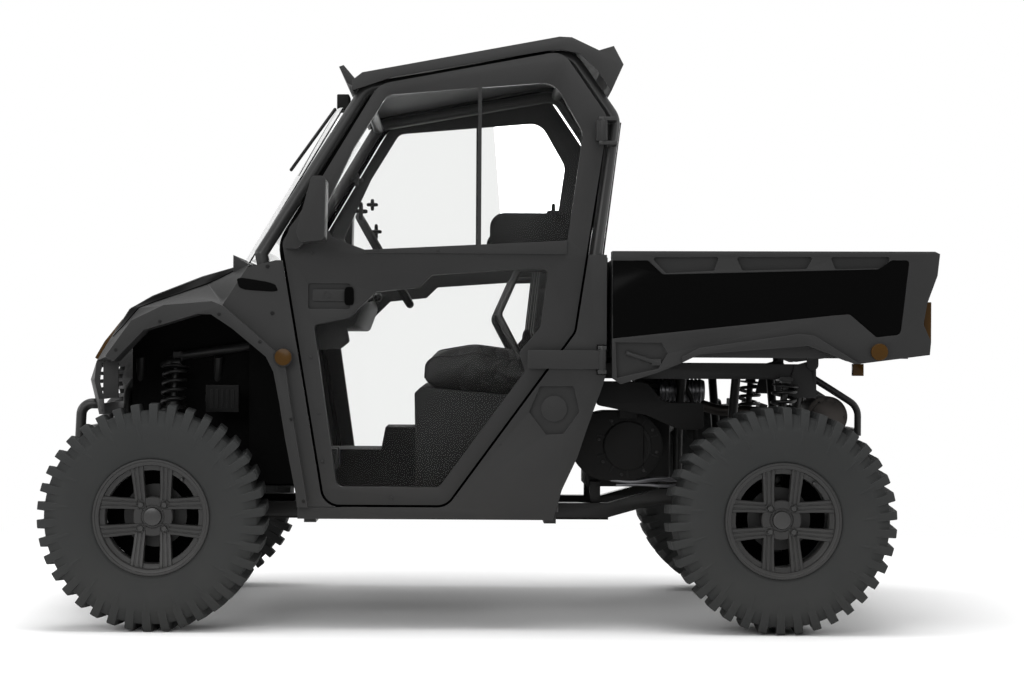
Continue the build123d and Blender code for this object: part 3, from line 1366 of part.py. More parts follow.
with BuildPart() as bed_sides:
    with BuildSketch(side_plane(bed_half_width)):
        with BuildLine():
            Polyline(*bed_outline, close=True)
        make_face()
    extrude(amount=bed_half_width - bed_skin_inner)
    with BuildSketch(side_plane(bed_lip_y)):
        with BuildLine():
            Polyline(*bed_lip, close=True)
        make_face()
    extrude(amount=bed_lip_y - bed_half_width + 10)
    with BuildSketch(side_plane(bed_half_width)):
        add(area(bed_panel, grow=1))
    extrude(amount=panel_depth, mode=Mode.SUBTRACT)
    with BuildSketch(side_plane(bed_half_width)):
        for pocket in rail_pockets:
            add(area(pocket))
        add(area(latch_pocket, grow=-8))
    extrude(amount=pocket_depth, mode=Mode.SUBTRACT)
    # the top rail's inner half, over the tub's wall
    add(slab((tailgate_x - 50, bed_front_x + 2), (bed_inner_half, bed_skin_inner),
             (rail_under, bed_top_z + 4)))
    # the latch lever in its pocket
    add(tube(7, 0, (-445, bed_half_width - 10, 925), (-540, bed_half_width - 10, 895)))
    add(slab((-560, -530), (bed_half_width - 20, bed_half_width - 4), (885, 905)))
    mirror(about=Plane.XZ)
bed_sides.part.label = "bed_sides"
export_step(bed_sides.part, "parts/bed_sides.step")

# Gloss inlay panels in the bed sides.
with BuildPart() as bed_panels:
    with BuildSketch(side_plane(bed_half_width - panel_depth + 5)):
        add(area(bed_panel, grow=-1))
    extrude(amount=5)
    mirror(about=Plane.XZ)
bed_panels.part.label = "bed_panels"
export_step(bed_panels.part, "parts/bed_panels.step")

# Tail lamps at the rear corners, round side reflectors and a small lamp under the bed.
with BuildPart() as tail_lamps:
    add(slab((tailgate_x - 50, tailgate_x - 25), (bed_inner_half + 2, bed_skin_inner - 1),
             (967, 1100)))
    with BuildSketch(side_plane(bed_lip_y)):
        with Locations((-1280, 933)):
            Circle(reflector_radius)
    extrude(amount=bed_lip_y - bed_half_width)
    mirror(about=Plane.XZ)
    add(slab((-1300, -1262), (316, 344), (850, 892)))
    add(slab((-1288, -1274), (324, 336), (890, bed_floor_low)))
tail_lamps.part.label = "tail_lamps"
export_step(tail_lamps.part, "parts/tail_lamps.step")

# Tailgate: a ribbed door across the rear on two pins, with a lever in its middle.
gate_half = bed_inner_half - tailgate_side_gap
with BuildPart() as tailgate:
    add(slab((tailgate_x - tailgate_thickness / 2, tailgate_x + tailgate_thickness / 2),
             (-gate_half, gate_half), (tailgate_low, bed_top_z - 2)))
    fillet(tailgate.edges().filter_by(Axis.Y), 8)
    # recessed panels in the outer face
    for panel_y in (-390, 390):
        add(slab((tailgate_x - tailgate_thickness, tailgate_x - tailgate_thickness / 2 + 8),
                 (panel_y - 190, panel_y + 190), (1000, 1190)), mode=Mode.SUBTRACT)
    add(slab((tailgate_x - tailgate_thickness, tailgate_x - tailgate_thickness / 2 + 16),
             (-110, 110), (1120, 1190)), mode=Mode.SUBTRACT)
    add(slab((tailgate_x - 22, tailgate_x - 12), (-80, 80), (1140, 1164)))
    for side in (1, -1):
        add(slab((tailgate_x - 22, tailgate_x + 5), (side * 80, side * 66), (1140, 1164)))
        with Locations(Location((tailgate_x, side * (gate_half + 8), gate_pivot_z),
                                (90, 0, 0))):
            Cylinder(gate_pin_radius, 40)
tailgate.part.label = "tailgate"
export_step(tailgate.part, "parts/tailgate.step")
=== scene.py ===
import json
from math import cos, pi, radians, sin

import bmesh
import bpy
import numpy as np
from mathutils import Matrix


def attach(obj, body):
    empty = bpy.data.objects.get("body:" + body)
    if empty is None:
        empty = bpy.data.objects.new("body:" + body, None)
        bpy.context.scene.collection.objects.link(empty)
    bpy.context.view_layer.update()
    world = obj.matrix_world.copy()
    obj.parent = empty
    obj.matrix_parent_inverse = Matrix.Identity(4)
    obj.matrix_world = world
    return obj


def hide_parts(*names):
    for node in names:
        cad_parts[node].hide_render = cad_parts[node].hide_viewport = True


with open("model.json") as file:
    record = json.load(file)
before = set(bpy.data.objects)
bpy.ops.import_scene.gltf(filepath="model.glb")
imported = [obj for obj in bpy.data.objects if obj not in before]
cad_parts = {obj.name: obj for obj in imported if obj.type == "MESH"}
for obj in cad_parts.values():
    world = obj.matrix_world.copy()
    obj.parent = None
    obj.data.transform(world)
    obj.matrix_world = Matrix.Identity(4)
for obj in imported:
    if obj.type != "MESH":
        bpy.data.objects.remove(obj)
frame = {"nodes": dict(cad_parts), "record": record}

scene = bpy.context.scene
record = frame["record"]
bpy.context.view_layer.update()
body_of = {node: body for body, nodes in record["behaviour"]["bodies"].items() for node in nodes}

# ------------------------------------------------------------ camera
# A long lens level with the door's belt, square to the vehicle's left side, with a slight
# roll. The shift puts the lens's axis left of the middle of the frame.


def placed(name, data):
    """A new object in the scene for its data."""
    made = bpy.data.objects.new(name, data)
    scene.collection.objects.link(made)
    return made


focal_pixels = 2191.0
frame_width = 1024.0
camera = bpy.data.cameras.new("camera")
camera.sensor_width = 36.0
camera.lens = focal_pixels / frame_width * camera.sensor_width
camera.shift_x = 46.0 / frame_width
camera.shift_y = 11.5 / frame_width
camera.clip_end = 60.0
camera_object = placed("camera", camera)
camera_object.matrix_world = (
    Matrix.Translation((0.085, 7.970, 0.922))
    @ Matrix.Rotation(pi, 4, "Z")
    @ Matrix.Rotation(radians(90), 4, "X")
    @ Matrix.Rotation(radians(0.335), 4, "Z")
)
scene.camera = camera_object

# ------------------------------------------------------------ studio
# A white floor that fades to the white background, so only the soft shadow shows, a pale
# world, one large soft box overhead and a weaker one on each side and at each end.
scene.view_settings.view_transform = "Standard"
floor_reach = 14.0
fade_start = 1.9
fade_end = 3.6


def operated(nodes, kind, operation, clamp=False):
    """A maths node of a kind ("Math" or "VectorMath") set to its operation."""
    node = nodes.new("ShaderNode" + kind)
    node.operation = operation
    if clamp:
        node.use_clamp = True
    return node


def noise(nodes, scale, detail):
    """A noise texture of a scale and detail."""
    node = nodes.new("ShaderNodeTexNoise")
    node.inputs["Scale"].default_value = scale
    node.inputs["Detail"].default_value = detail
    return node


def ranged(nodes, **ends):
    """A map range node; from_min, from_max, to_min and to_max are what differs from 0 to 1."""
    node = nodes.new("ShaderNodeMapRange")
    for label, value in ends.items():
        node.inputs[label.replace("_", " ").title()].default_value = value
    return node


def wire(link, *rows):
    """Links, one for each row of (node, its output, node, its input)."""
    for source, output, target, entry in rows:
        link(source.outputs[output], target.inputs[entry])


def nodes_of(material):
    """The nodes of a new material or world and a short way to link their sockets."""
    material.use_nodes = True
    return material.node_tree.nodes, material.node_tree.links.new


floor_mesh = bpy.data.meshes.new("studio_floor")
floor_corners = np.array([(-1, -1, 0), (1, -1, 0), (1, 1, 0), (-1, 1, 0)]) * floor_reach
floor_mesh.from_pydata(floor_corners.tolist(), [], [(0, 1, 2, 3)])
studio_floor = placed("studio_floor", floor_mesh)

floor_paper = bpy.data.materials.new("floor_paper")
nodes, link = nodes_of(floor_paper)
nodes["Principled BSDF"].inputs["Base Color"].default_value = (0.92, 0.92, 0.92, 1)
nodes["Principled BSDF"].inputs["Roughness"].default_value = 0.9
nodes["Principled BSDF"].inputs["Specular IOR Level"].default_value = 0.0
white = nodes.new("ShaderNodeEmission")
place = nodes.new("ShaderNodeTexCoord")
stretch = operated(nodes, "VectorMath", "MULTIPLY")
stretch.inputs[1].default_value = (0.62, 1.0, 0.0)
reach = operated(nodes, "VectorMath", "LENGTH")
fade = ranged(nodes, from_min=fade_start, from_max=fade_end)
fade.interpolation_type = "SMOOTHSTEP"
blend = nodes.new("ShaderNodeMixShader")
wire(link,
     (place, "Object", stretch, 0),
     (stretch, "Vector", reach, 0),
     (reach, "Value", fade, "Value"),
     (fade, "Result", blend, "Fac"),
     (nodes["Principled BSDF"], "BSDF", blend, 1),
     (white, "Emission", blend, 2),
     (blend, "Shader", nodes["Material Output"], "Surface"))
floor_mesh.materials.append(floor_paper)

world = bpy.data.worlds.new("studio")
scene.world = world
nodes, link = nodes_of(world)
sky = nodes["Background"]
sky.inputs["Color"].default_value = (1, 1, 1, 1)
seen = nodes.new("ShaderNodeLightPath")
either = operated(nodes, "Math", "MAXIMUM")
any_of = operated(nodes, "Math", "MAXIMUM")
level = ranged(nodes, to_min=0.62, to_max=1.0)
wire(link,
     (seen, "Is Camera Ray", either, 0),
     (seen, "Is Glossy Ray", either, 1),
     (either, "Value", any_of, 0),
     (seen, "Is Transmission Ray", any_of, 1),
     (any_of, "Value", level, "Value"),
     (level, "Result", sky, "Strength"))

# soft boxes: name, place, size, watts, the point each faces
for name, spot, size, watts, aim in (
    ("top_box", (0.2, 0.3, 4.2), (4.4, 3.0), 210, (0.1, 0.0, 0.8)),
    ("left_box", (2.2, 5.2, 2.6), (3.0, 2.0), 70, (0.2, 0.0, 0.9)),
    ("right_box", (-1.5, -5.2, 2.6), (3.0, 2.0), 70, (0.0, 0.0, 0.9)),
    ("tail_box", (-5.2, 1.2, 2.4), (2.0, 1.6), 40, (-0.8, 0.0, 0.9)),
    ("nose_box", (5.2, 1.0, 2.4), (2.0, 1.6), 40, (0.8, 0.0, 0.9)),
):
    lamp = bpy.data.lights.new(name, "AREA")
    lamp.shape = "RECTANGLE"
    lamp.size, lamp.size_y = size
    lamp.energy = watts
    lamp_object = placed(name, lamp)
    away = Matrix.Translation(spot).to_translation() - Matrix.Translation(aim).to_translation()
    turn = away.to_track_quat("Z", "Y").to_matrix().to_4x4()
    lamp_object.matrix_world = Matrix.Translation(spot) @ turn

# ------------------------------------------------------------ shared finishes
# Three effects that the materials share: the fine grain of mouldings and castings, paler
# edges that are partly wear and partly painted highlight, and a thin film of dust low on the
# vehicle.
# the paler edge grey is partly wear and partly a painted highlight where edges catch the light;
# the beige is dust
edge_highlight_and_wear_grey, dust_beige = "#5c5c5c", "#8c857b"


def linear(code):
    """The linear colour of an sRGB hex code."""
    parts = [int(code[i : i + 2], 16) / 255 for i in (1, 3, 5)]
    return (*[p / 12.92 if p <= 0.04045 else ((p + 0.055) / 1.055) ** 2.4 for p in parts], 1)


def effect(name, inputs, outputs):
    """A node group with number inputs (name, value) and outputs (name, kind), and its ends."""
    group = bpy.data.node_groups.new(name, "ShaderNodeTree")
    for label, value in inputs:
        socket = group.interface.new_socket(label, in_out="INPUT", socket_type="NodeSocketFloat")
        socket.default_value = value
    for label, kind in outputs:
        group.interface.new_socket(label, in_out="OUTPUT", socket_type=kind)
    ends = group.nodes.new("NodeGroupInput"), group.nodes.new("NodeGroupOutput")
    return group, group.nodes, group.links.new, ends


grain_effect, nodes, link, ends = effect(
    "moulded_grain",
    [("Scale", 900.0)],
    [("Height", "NodeSocketFloat"), ("Patch", "NodeSocketFloat")],
)
place = nodes.new("ShaderNodeTexCoord")
cells = nodes.new("ShaderNodeTexVoronoi")
cells.feature = "SMOOTH_F1"
fine = nodes.new("ShaderNodeTexNoise")
fine.inputs["Detail"].default_value = 3.0
slow = noise(nodes, 5.0, 5.0)
total = nodes.new("ShaderNodeMath")
wire(link,
     (place, "Object", cells, "Vector"),
     (place, "Object", fine, "Vector"),
     (place, "Object", slow, "Vector"),
     (ends[0], "Scale", cells, "Scale"),
     (ends[0], "Scale", fine, "Scale"),
     (cells, "Distance", total, 0),
     (fine, "Fac", total, 1),
     (total, "Value", ends[1], "Height"),
     (slow, "Fac", ends[1], "Patch"))

# painted highlight: edges found from the rounded normal are lightened, partly wear and partly
# light caught on the edges
edge_effect, nodes, link, ends = effect(
    "edge_wear_and_painted_highlight", [("Width", 0.004), ("Amount", 0.5)], [("Mask", "NodeSocketFloat")]
)
rounded_normal = nodes.new("ShaderNodeBevel")
rounded_normal.samples = 4
flat_normal = nodes.new("ShaderNodeNewGeometry")
alike = operated(nodes, "VectorMath", "DOT_PRODUCT")
sharp = ranged(nodes, from_min=0.995, from_max=0.85)
place = nodes.new("ShaderNodeTexCoord")
patchy = noise(nodes, 38.0, 4.0)
broken = operated(nodes, "Math", "MULTIPLY")
scaled = operated(nodes, "Math", "MULTIPLY", clamp=True)
wire(link,
     (ends[0], "Width", rounded_normal, "Radius"),
     (rounded_normal, "Normal", alike, 0),
     (flat_normal, "Normal", alike, 1),
     (alike, "Value", sharp, "Value"),
     (place, "Object", patchy, "Vector"),
     (sharp, "Result", broken, 0),
     (patchy, "Fac", broken, 1),
     (broken, "Value", scaled, 0),
     (ends[0], "Amount", scaled, 1),
     (scaled, "Value", ends[1], "Mask"))

dust_effect, nodes, link, ends = effect(
    "dust_film", [("Amount", 0.1), ("Top", 0.75)], [("Mask", "NodeSocketFloat")]
)
place = nodes.new("ShaderNodeTexCoord")
split = nodes.new("ShaderNodeSeparateXYZ")
depth = ranged(nodes, from_max=0.05)
cloud = noise(nodes, 9.0, 6.0)
patchy = operated(nodes, "Math", "MULTIPLY")
scaled = operated(nodes, "Math", "MULTIPLY", clamp=True)
wire(link,
     (place, "Object", split, "Vector"),
     (place, "Object", cloud, "Vector"),
     (split, "Z", depth, "Value"),
     (ends[0], "Top", depth, "From Min"),
     (depth, "Result", patchy, 0),
     (cloud, "Fac", patchy, 1),
     (patchy, "Value", scaled, 0),
     (ends[0], "Amount", scaled, 1),
     (scaled, "Value", ends[1], "Mask"))


def finish(name, colour, rough, grain=900, depth=0.00012, edge=0.35, dust=0.05, metal=0.0,
           spread=0.08, specular=0.12):
    """A material: base colour, grain bump, paler edges that are wear and painted highlight, dust,
    roughness varied by patches.
    """
    material = bpy.data.materials.new(name)
    nodes, link = nodes_of(material)
    shader = nodes["Principled BSDF"]
    shader.inputs["Metallic"].default_value = metal
    shader.inputs["Specular IOR Level"].default_value = specular
    effects = {}
    for label, group, values in (
        ("grain", grain_effect, {"Scale": grain}),
        ("edges", edge_effect, {"Width": 0.004, "Amount": edge}),
        ("dust", dust_effect, {"Amount": dust, "Top": 0.75}),
    ):
        effects[label] = nodes.new("ShaderNodeGroup")
        effects[label].node_tree = group
        for key, value in values.items():
            effects[label].inputs[key].default_value = value
    darker, paler_edge_mix, dusty = (nodes.new("ShaderNodeMix") for _ in range(3))
    for mix in (darker, paler_edge_mix, dusty):
        mix.data_type = "RGBA"
    darker.inputs["A"].default_value = [0.86 * c for c in linear(colour)[:3]] + [1]
    darker.inputs["B"].default_value = [1.12 * c for c in linear(colour)[:3]] + [1]
    # paler edge colour: wear and a painted highlight
    paler_edge_mix.inputs["B"].default_value = linear(edge_highlight_and_wear_grey)
    dusty.inputs["B"].default_value = linear(dust_beige)
    uneven = ranged(nodes, to_min=max(rough - spread, 0.02), to_max=min(rough + spread, 1.0))
    bump = nodes.new("ShaderNodeBump")
    bump.inputs["Distance"].default_value = depth
    wire(link,
         (effects["grain"], "Patch", darker, "Factor"),
         (darker, "Result", paler_edge_mix, "A"),
         (effects["edges"], "Mask", paler_edge_mix, "Factor"),
         (paler_edge_mix, "Result", dusty, "A"),
         (effects["dust"], "Mask", dusty, "Factor"),
         (dusty, "Result", shader, "Base Color"),
         (effects["grain"], "Patch", uneven, "Value"),
         (uneven, "Result", shader, "Roughness"),
         (effects["grain"], "Height", bump, "Height"),
         (bump, "Normal", shader, "Normal"))
    return material


def merged(node, flat=False):
    """A copy of a CAD node's mesh with its doubles merged, and its flat faces if asked."""
    mesh = frame["nodes"][node].data.copy()
    shape = bmesh.new()
    shape.from_mesh(mesh)
    bmesh.ops.remove_doubles(shape, verts=shape.verts, dist=2e-5)
    if flat:
        bmesh.ops.dissolve_limit(
            shape, angle_limit=radians(1.0), verts=shape.verts, edges=shape.edges
        )
    shape.to_mesh(mesh)
    shape.free()
    return mesh


def dressed(node, material, width):
    """A merged copy of a CAD node with its edges rounded, that stands for it."""
    mesh = merged(node, flat=True)
    mesh.materials.clear()
    mesh.materials.append(material)
    mesh.shade_smooth()
    copy = placed(node + "_shell", mesh)
    rounding = copy.modifiers.new("rounding", "BEVEL")
    rounding.width = width
    rounding.segments = 2
    rounding.limit_method = "ANGLE"
    rounding.angle_limit = radians(32)
    rounding.harden_normals = True
    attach(copy, body_of[node])
    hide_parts(node)


def repaint(node, material):
    """A CAD node that keeps its own shape takes a material."""
    mesh = frame["nodes"][node].data
    mesh.materials.clear()
    mesh.materials.append(material)


# ------------------------------------------------------------ frame and cage
# Welded steel tubes and box rails in satin black powder coat, the cage's hoops and the
# bumper in the same paint, one shade paler.
frame_paint = finish("frame_paint", "#1a1a1a", 0.4, grain=420, depth=0.0001, specular=0.22)
cage_paint = finish("cage_paint", "#262626", 0.34, grain=420, depth=0.0001, specular=0.3)
for node in ("frame", "driver_controls", "front_arms", "rear_arms"):
    dressed(node, frame_paint, 0.0015)
for node in ("roll_cage", "front_bumper"):
    dressed(node, cage_paint, 0.0015)

# ------------------------------------------------------------ mouldings
# Charcoal polypropylene with a fine grain: the body skins, the roof, the bed and the fascia.
body_plastic = finish("body_plastic", "#2b2b2b", 0.5, grain=1100, depth=0.00015)
roof_plastic = finish("roof_plastic", "#303030", 0.48, grain=900, depth=0.00018)
dark_plastic = finish("dark_plastic", "#1a1a1a", 0.6, grain=1100, depth=0.00018, specular=0.08)
for node in ("side_skins", "nose", "cowl", "hood", "bed_sides", "tailgate", "bed_tub",
             "door_left_frame", "door_right_frame", "door_left_fittings", "door_right_fittings",
             "front_fenders"):
    dressed(node, body_plastic, 0.003)
dressed("roof", roof_plastic, 0.006)
shade_plastic = finish("shade_plastic", "#0e0e0e", 0.8, grain=900, depth=0.0001, edge=0.0,
                       dust=0.0, specular=0.03)
dressed("inner_guards", shade_plastic, 0.001)
for node in ("rear_wall", "floor_pan", "seat_base", "shoulder_guards", "dashboard",
             "relay_box", "wiper", "skid_plate", "belt_cover", "intake_duct"):
    dressed(node, dark_plastic, 0.004)

# ------------------------------------------------------------ glass
# Clear laminated panes in the doors, the windscreen and the back of the cab.
clear_glass = bpy.data.materials.new("clear_glass")
nodes, link = nodes_of(clear_glass)
shader = nodes["Principled BSDF"]
shader.inputs["Base Color"].default_value = (0.93, 0.935, 0.93, 1)
shader.inputs["Roughness"].default_value = 0.01
shader.inputs["IOR"].default_value = 1.12
shader.inputs["Transmission Weight"].default_value = 1.0
for node in ("cab_glass", "door_left_glass", "door_right_glass"):
    repaint(node, clear_glass)
    frame["nodes"][node].visible_shadow = False

# ------------------------------------------------------------ metals and rubber
# Cast and bare metal of the drive and steering, the gloss panels, tyre and seat coverings,
# and the amber lenses.
cast_metal = finish("cast_metal", "#2c2c2c", 0.5, grain=700, depth=0.0003, metal=0.5)
bare_aluminium = finish("bare_aluminium", "#77777a", 0.38, grain=600, depth=0.0001, metal=0.9)
exhaust_steel = finish("exhaust_steel", "#3f3c3a", 0.42, grain=300, depth=0.0001, metal=0.9)
gloss_black = finish("gloss_black", "#030303", 0.16, grain=200, depth=0.0, edge=0.0,
                     dust=0.0, spread=0.03, specular=0.03)
tyre_rubber = finish("tyre_rubber", "#313232", 0.8, grain=1500, depth=0.0002, dust=0.04,
                     specular=0.1)
rim_paint = finish("rim_paint", "#2a2a2a", 0.42, grain=600, depth=0.00005, specular=0.25)
seat_vinyl = finish("seat_vinyl", "#212121", 0.48, grain=700, depth=0.0004)
soft_rubber = finish("soft_rubber", "#161616", 0.7, grain=900, depth=0.0003)
lamp_lens = finish("lamp_lens", "#3d2703", 0.25, grain=200, depth=0.0, edge=0.0)
for node in ("engine", "driveline", "rear_hubs", "knuckle_left", "knuckle_right"):
    dressed(node, cast_metal, 0.003)
for node in ("radiator", "rack_housing", "steering_rack"):
    dressed(node, bare_aluminium, 0.001)
dressed("muffler", exhaust_steel, 0.004)
dressed("bed_panels", gloss_black, 0.002)
for node in ("front_lamps", "tail_lamps"):
    dressed(node, lamp_lens, 0.002)
dressed("steering_wheel", soft_rubber, 0.002)

# ------------------------------------------------------------ tyres
# Off-road tyres: a rounded rubber casing with 38 slanted lug bars, cut by two grooves round
# the tread. Each second lug runs down the shoulder as a thin rib.


def surface(points, wrap_rows=False, wrap_columns=False):
    """The vertices and quads of a grid of points, each joined to its neighbours both ways."""
    rows, columns = points.shape[:2]
    index = np.arange(rows * columns).reshape(rows, columns)
    if wrap_rows:
        index = np.vstack([index, index[:1]])
    if wrap_columns:
        index = np.hstack([index, index[:, :1]])
    quads = np.stack([index[:-1, :-1], index[1:, :-1], index[1:, 1:], index[:-1, 1:]], axis=-1)
    return points.reshape(-1, 3), quads.reshape(-1, 4)


def joined(surfaces):
    """Several surfaces as one: their quads are renumbered one after the other."""
    starts = np.cumsum([0] + [len(vertices) for vertices, quads in surfaces[:-1]])
    return (np.vstack([vertices for vertices, quads in surfaces]),
            np.vstack([quads + start for (vertices, quads), start in zip(surfaces, starts)]))


def shown(name, mesh, body, material, sharp):
    """An object for a mesh: shading kept sharp past an angle, its material and body."""
    mesh.shade_smooth()
    mesh.set_sharp_from_angle(angle=radians(sharp))
    mesh.materials.append(material)
    made = placed(name, mesh)
    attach(made, body)
    return made


def piece(name, body, material, surfaces, sharp=35.0):
    """An object made of closed surfaces, in metres, with its poles closed and edges kept."""
    vertices, quads = joined(surfaces)
    mesh = bpy.data.meshes.new(name)
    mesh.from_pydata(vertices.tolist(), [], quads.tolist())
    shape = bmesh.new()
    shape.from_mesh(mesh)
    bmesh.ops.remove_doubles(shape, verts=shape.verts, dist=1e-6)
    bmesh.ops.dissolve_degenerate(shape, edges=shape.edges, dist=1e-7)
    bmesh.ops.recalc_face_normals(shape, faces=shape.faces)
    shape.to_mesh(mesh)
    shape.free()
    return shown(name, mesh, body, material, sharp)


axle_height = 0.375
wheels = [
    # end, axle x, middle y, half width of the tyre
    ("front", 1.118, 0.685, 0.115),
    ("rear", -0.962, 0.660, 0.140),
]
lug_count = 38
flange_edge = 0.033


def tyre_surface(axle_x, middle, half, side):
    """A torus whose section blends from the groove's line to the lug's line. Along a pitch
    the blend is a trapezoid, 1 on the lug and 0 in the gap, and its middle shifts along the
    tread in proportion to the width, so that the bars slant."""
    edge = 1 - flange_edge / half
    # lug radius, lug width, groove radius, groove width, share of the lug's height
    tread = np.array([
        (375.0, 0.00, 352.0, 0.00, 1.0), (375.0, 0.16, 352.0, 0.16, 1.0),
        (374.9, 0.325, 352.0, 0.325, 1.0), (374.9, 0.345, 352.0, 0.345, 0.9),
        (374.8, 0.36, 352.0, 0.36, 0.2), (374.8, 0.40, 352.0, 0.40, 0.2),
        (374.7, 0.415, 352.0, 0.415, 0.9), (374.6, 0.435, 351.8, 0.435, 1.0),
        (374.3, 0.60, 351.5, 0.60, 1.0), (373.8, 0.78, 350.5, 0.76, 1.0),
        (372.6, 0.84, 349.0, 0.81, 1.0), (369.0, 0.873, 345.0, 0.845, 1.0),
        (352.0, 0.925, 332.0, 0.900, 1.0), (334.0, 0.972, 319.0, 0.945, 1.0),
        (323.0, 0.993, 311.0, 0.972, 0.96), (315.0, 0.998, 306.0, 0.985, 0.6),
        (306.0, 0.999, 302.0, 0.992, 0.2),
    ])
    fall = np.linspace(0, 1, 14)
    wall_radius = 298.0 - 104.0 * fall
    wall_width = 0.997 - (0.997 - edge) * fall**2.1
    # two thin rings moulded round the wall
    ring = 0.010 * (np.exp(-((wall_radius - 214) / 3.0) ** 2))
    wall = np.stack([wall_radius, wall_width + ring, wall_radius, wall_width + ring,
                     np.zeros_like(fall)], axis=1)
    bead = np.array([(186.0, edge - 0.03, 186.0, edge - 0.03, 0.0),
                     (178.5, edge - 0.05, 178.5, edge - 0.05, 0.0)])
    one_side = np.vstack([tread, wall, bead])
    other = one_side[:0:-1] * (1, -1, 1, -1, 1)
    section = np.vstack([other, one_side])
    share = np.array([-0.5, -0.39, -0.285, -0.262, -0.232, -0.212, -0.10, -0.045, 0, 0.045,
                      0.10, 0.212, 0.232, 0.262, 0.285, 0.39])
    height = np.interp(np.abs(share), [0, 0.212, 0.232, 0.262, 0.285, 0.5],
                       [1, 1, 0.94, 0.10, 0, 0])
    number = np.arange(lug_count)
    turn = ((number[:, None] + share[None, :]) / lug_count * 2 * pi).ravel()
    along = np.tile(height, lug_count)
    lug_r, lug_w, gap_r, gap_w, cut = section.T[:, :, None]
    blend = cut * along[None, :]
    radius = (gap_r + (lug_r - gap_r) * blend) / 1000
    width = (gap_w + (lug_w - gap_w) * blend) * half
    # ribs: thin on the middle of each second lug, from its foot 40 mm down the wall
    middle_line = np.tile(np.interp(np.abs(share), [0, 0.045, 0.10], [1, 0.8, 0]), lug_count)
    second = np.repeat(number % 2 == 0, len(share))
    opposite = np.repeat(number % 2 == 1, len(share))
    reach = np.interp(gap_r, [262, 268, 300, 318], [0, 1, 1, 0])
    chosen = np.where(gap_w > 0, second[None, :], opposite[None, :])
    width = width + np.sign(gap_w) * 0.0022 * reach * middle_line[None, :] * chosen
    slant = 0.010 * lug_w / radius
    lean = np.interp(gap_r, [262, 300], [0.028, 0.0]) * (gap_r < 300) * (gap_r > 255)
    angle = turn[None, :] + slant * np.interp(gap_r, [194, 300], [0, 1]) + lean
    return surface(np.stack([
        axle_x + radius * np.sin(angle),
        side * (middle + width),
        axle_height - radius * np.cos(angle),
    ], axis=-1), wrap_rows=True, wrap_columns=True)


for end, axle_x, middle, half in wheels:
    for side_name, side in (("left", 1), ("right", -1)):
        node = f"wheel_{end}_{side_name}_tyre"
        tyre = piece(f"{end}_{side_name}_tyre_rubber", f"wheel_{end}_{side_name}",
                     tyre_rubber, [tyre_surface(axle_x, middle, half, side)], 30)
        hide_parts(node)

# ------------------------------------------------------------ rims
# Cast alloy rims in dark paint: four V-shaped pairs of ribbed spokes that meet at the nuts, a
# stepped lip, a plain round cap, with the brake disc bolted behind.
cap_paint = finish("cap_paint", "#262626", 0.3, grain=400, depth=0.00002, specular=0.4)
spoke_half = 0.0185
nut_circle = 0.055


def lathe(profile, centre, axis, sides=48, turn=0.0):
    """A profile of (radius, height) rows turned about an axis through a centre."""
    axis = np.array(axis, float) / np.linalg.norm(axis)
    across = np.cross(axis, (0.0, 0.0, 1.0) if abs(axis[2]) < 0.9 else (1.0, 0.0, 0.0))
    across /= np.linalg.norm(across)
    third = np.cross(axis, across)
    angle = turn + np.arange(sides) / sides * 2 * pi
    ring = np.cos(angle)[:, None] * across + np.sin(angle)[:, None] * third
    profile = np.array(profile, float)
    return surface(np.array(centre) + profile[:, None, :1] * ring[None]
                   + profile[:, None, 1:] * axis, wrap_columns=True)


def spoke_pair(axle_x, face_y, side, quarter):
    """Two legs that meet over a nut: a ribbed section carried out along each leg, mitred at
    the corner, rising towards the lip and growing wider."""
    turn = quarter * pi / 2
    corner = np.array((0.0405, 0.0405))
    far = np.array((0.0490, 0.1690))
    # width across the leg and height over its face: two grooves between three ridges
    section = np.array([
        (-1.0, -0.0260), (-1.0, -0.0030), (-0.90, 0.0), (-0.52, 0.0), (-0.42, -0.0030),
        (-0.30, -0.0030), (-0.20, -0.0002), (0.20, -0.0002), (0.30, -0.0030), (0.42, -0.0030),
        (0.52, 0.0), (0.90, 0.0), (1.0, -0.0030), (1.0, -0.0260),
    ])
    reach = np.array([0.0, 0.18, 0.45, 0.75, 0.93, 1.0, 1.035])
    rise = np.array([0.0, 0.002, 0.012, 0.026, 0.033, 0.0335, 0.031])
    wide = spoke_half * np.array([1.0, 1.0, 1.02, 1.10, 1.18, 1.22, 1.22])
    along = (far - corner) / np.linalg.norm(far - corner)
    across = np.array((along[1], -along[0]))
    line = corner + (far - corner) * reach[:, None]
    legs = []
    for swap in (False, True):
        points = line[:, None, :] + across * (wide[:, None] * section[None, :, 0])[..., None]
        # the first row slides along the leg until it stands on the diagonal
        lack = (points[0, :, 0] - points[0, :, 1]) / (along[1] - along[0])
        points[0] += along * lack[:, None]
        if swap:
            points = points[..., ::-1]
        height = rise[:, None] + section[None, :, 1]
        u = points[..., 0] * cos(turn) - points[..., 1] * sin(turn)
        v = points[..., 0] * sin(turn) + points[..., 1] * cos(turn)
        legs.append(np.stack([axle_x + u, side * (face_y + height), axle_height + v], axis=-1))
    path = np.concatenate([legs[0][::-1], legs[1][1:]], axis=0)
    ends = path[[0, -1]].mean(axis=1, keepdims=True).repeat(path.shape[1], axis=1)
    return surface(np.concatenate([ends[:1], path, ends[1:]]), wrap_columns=True)


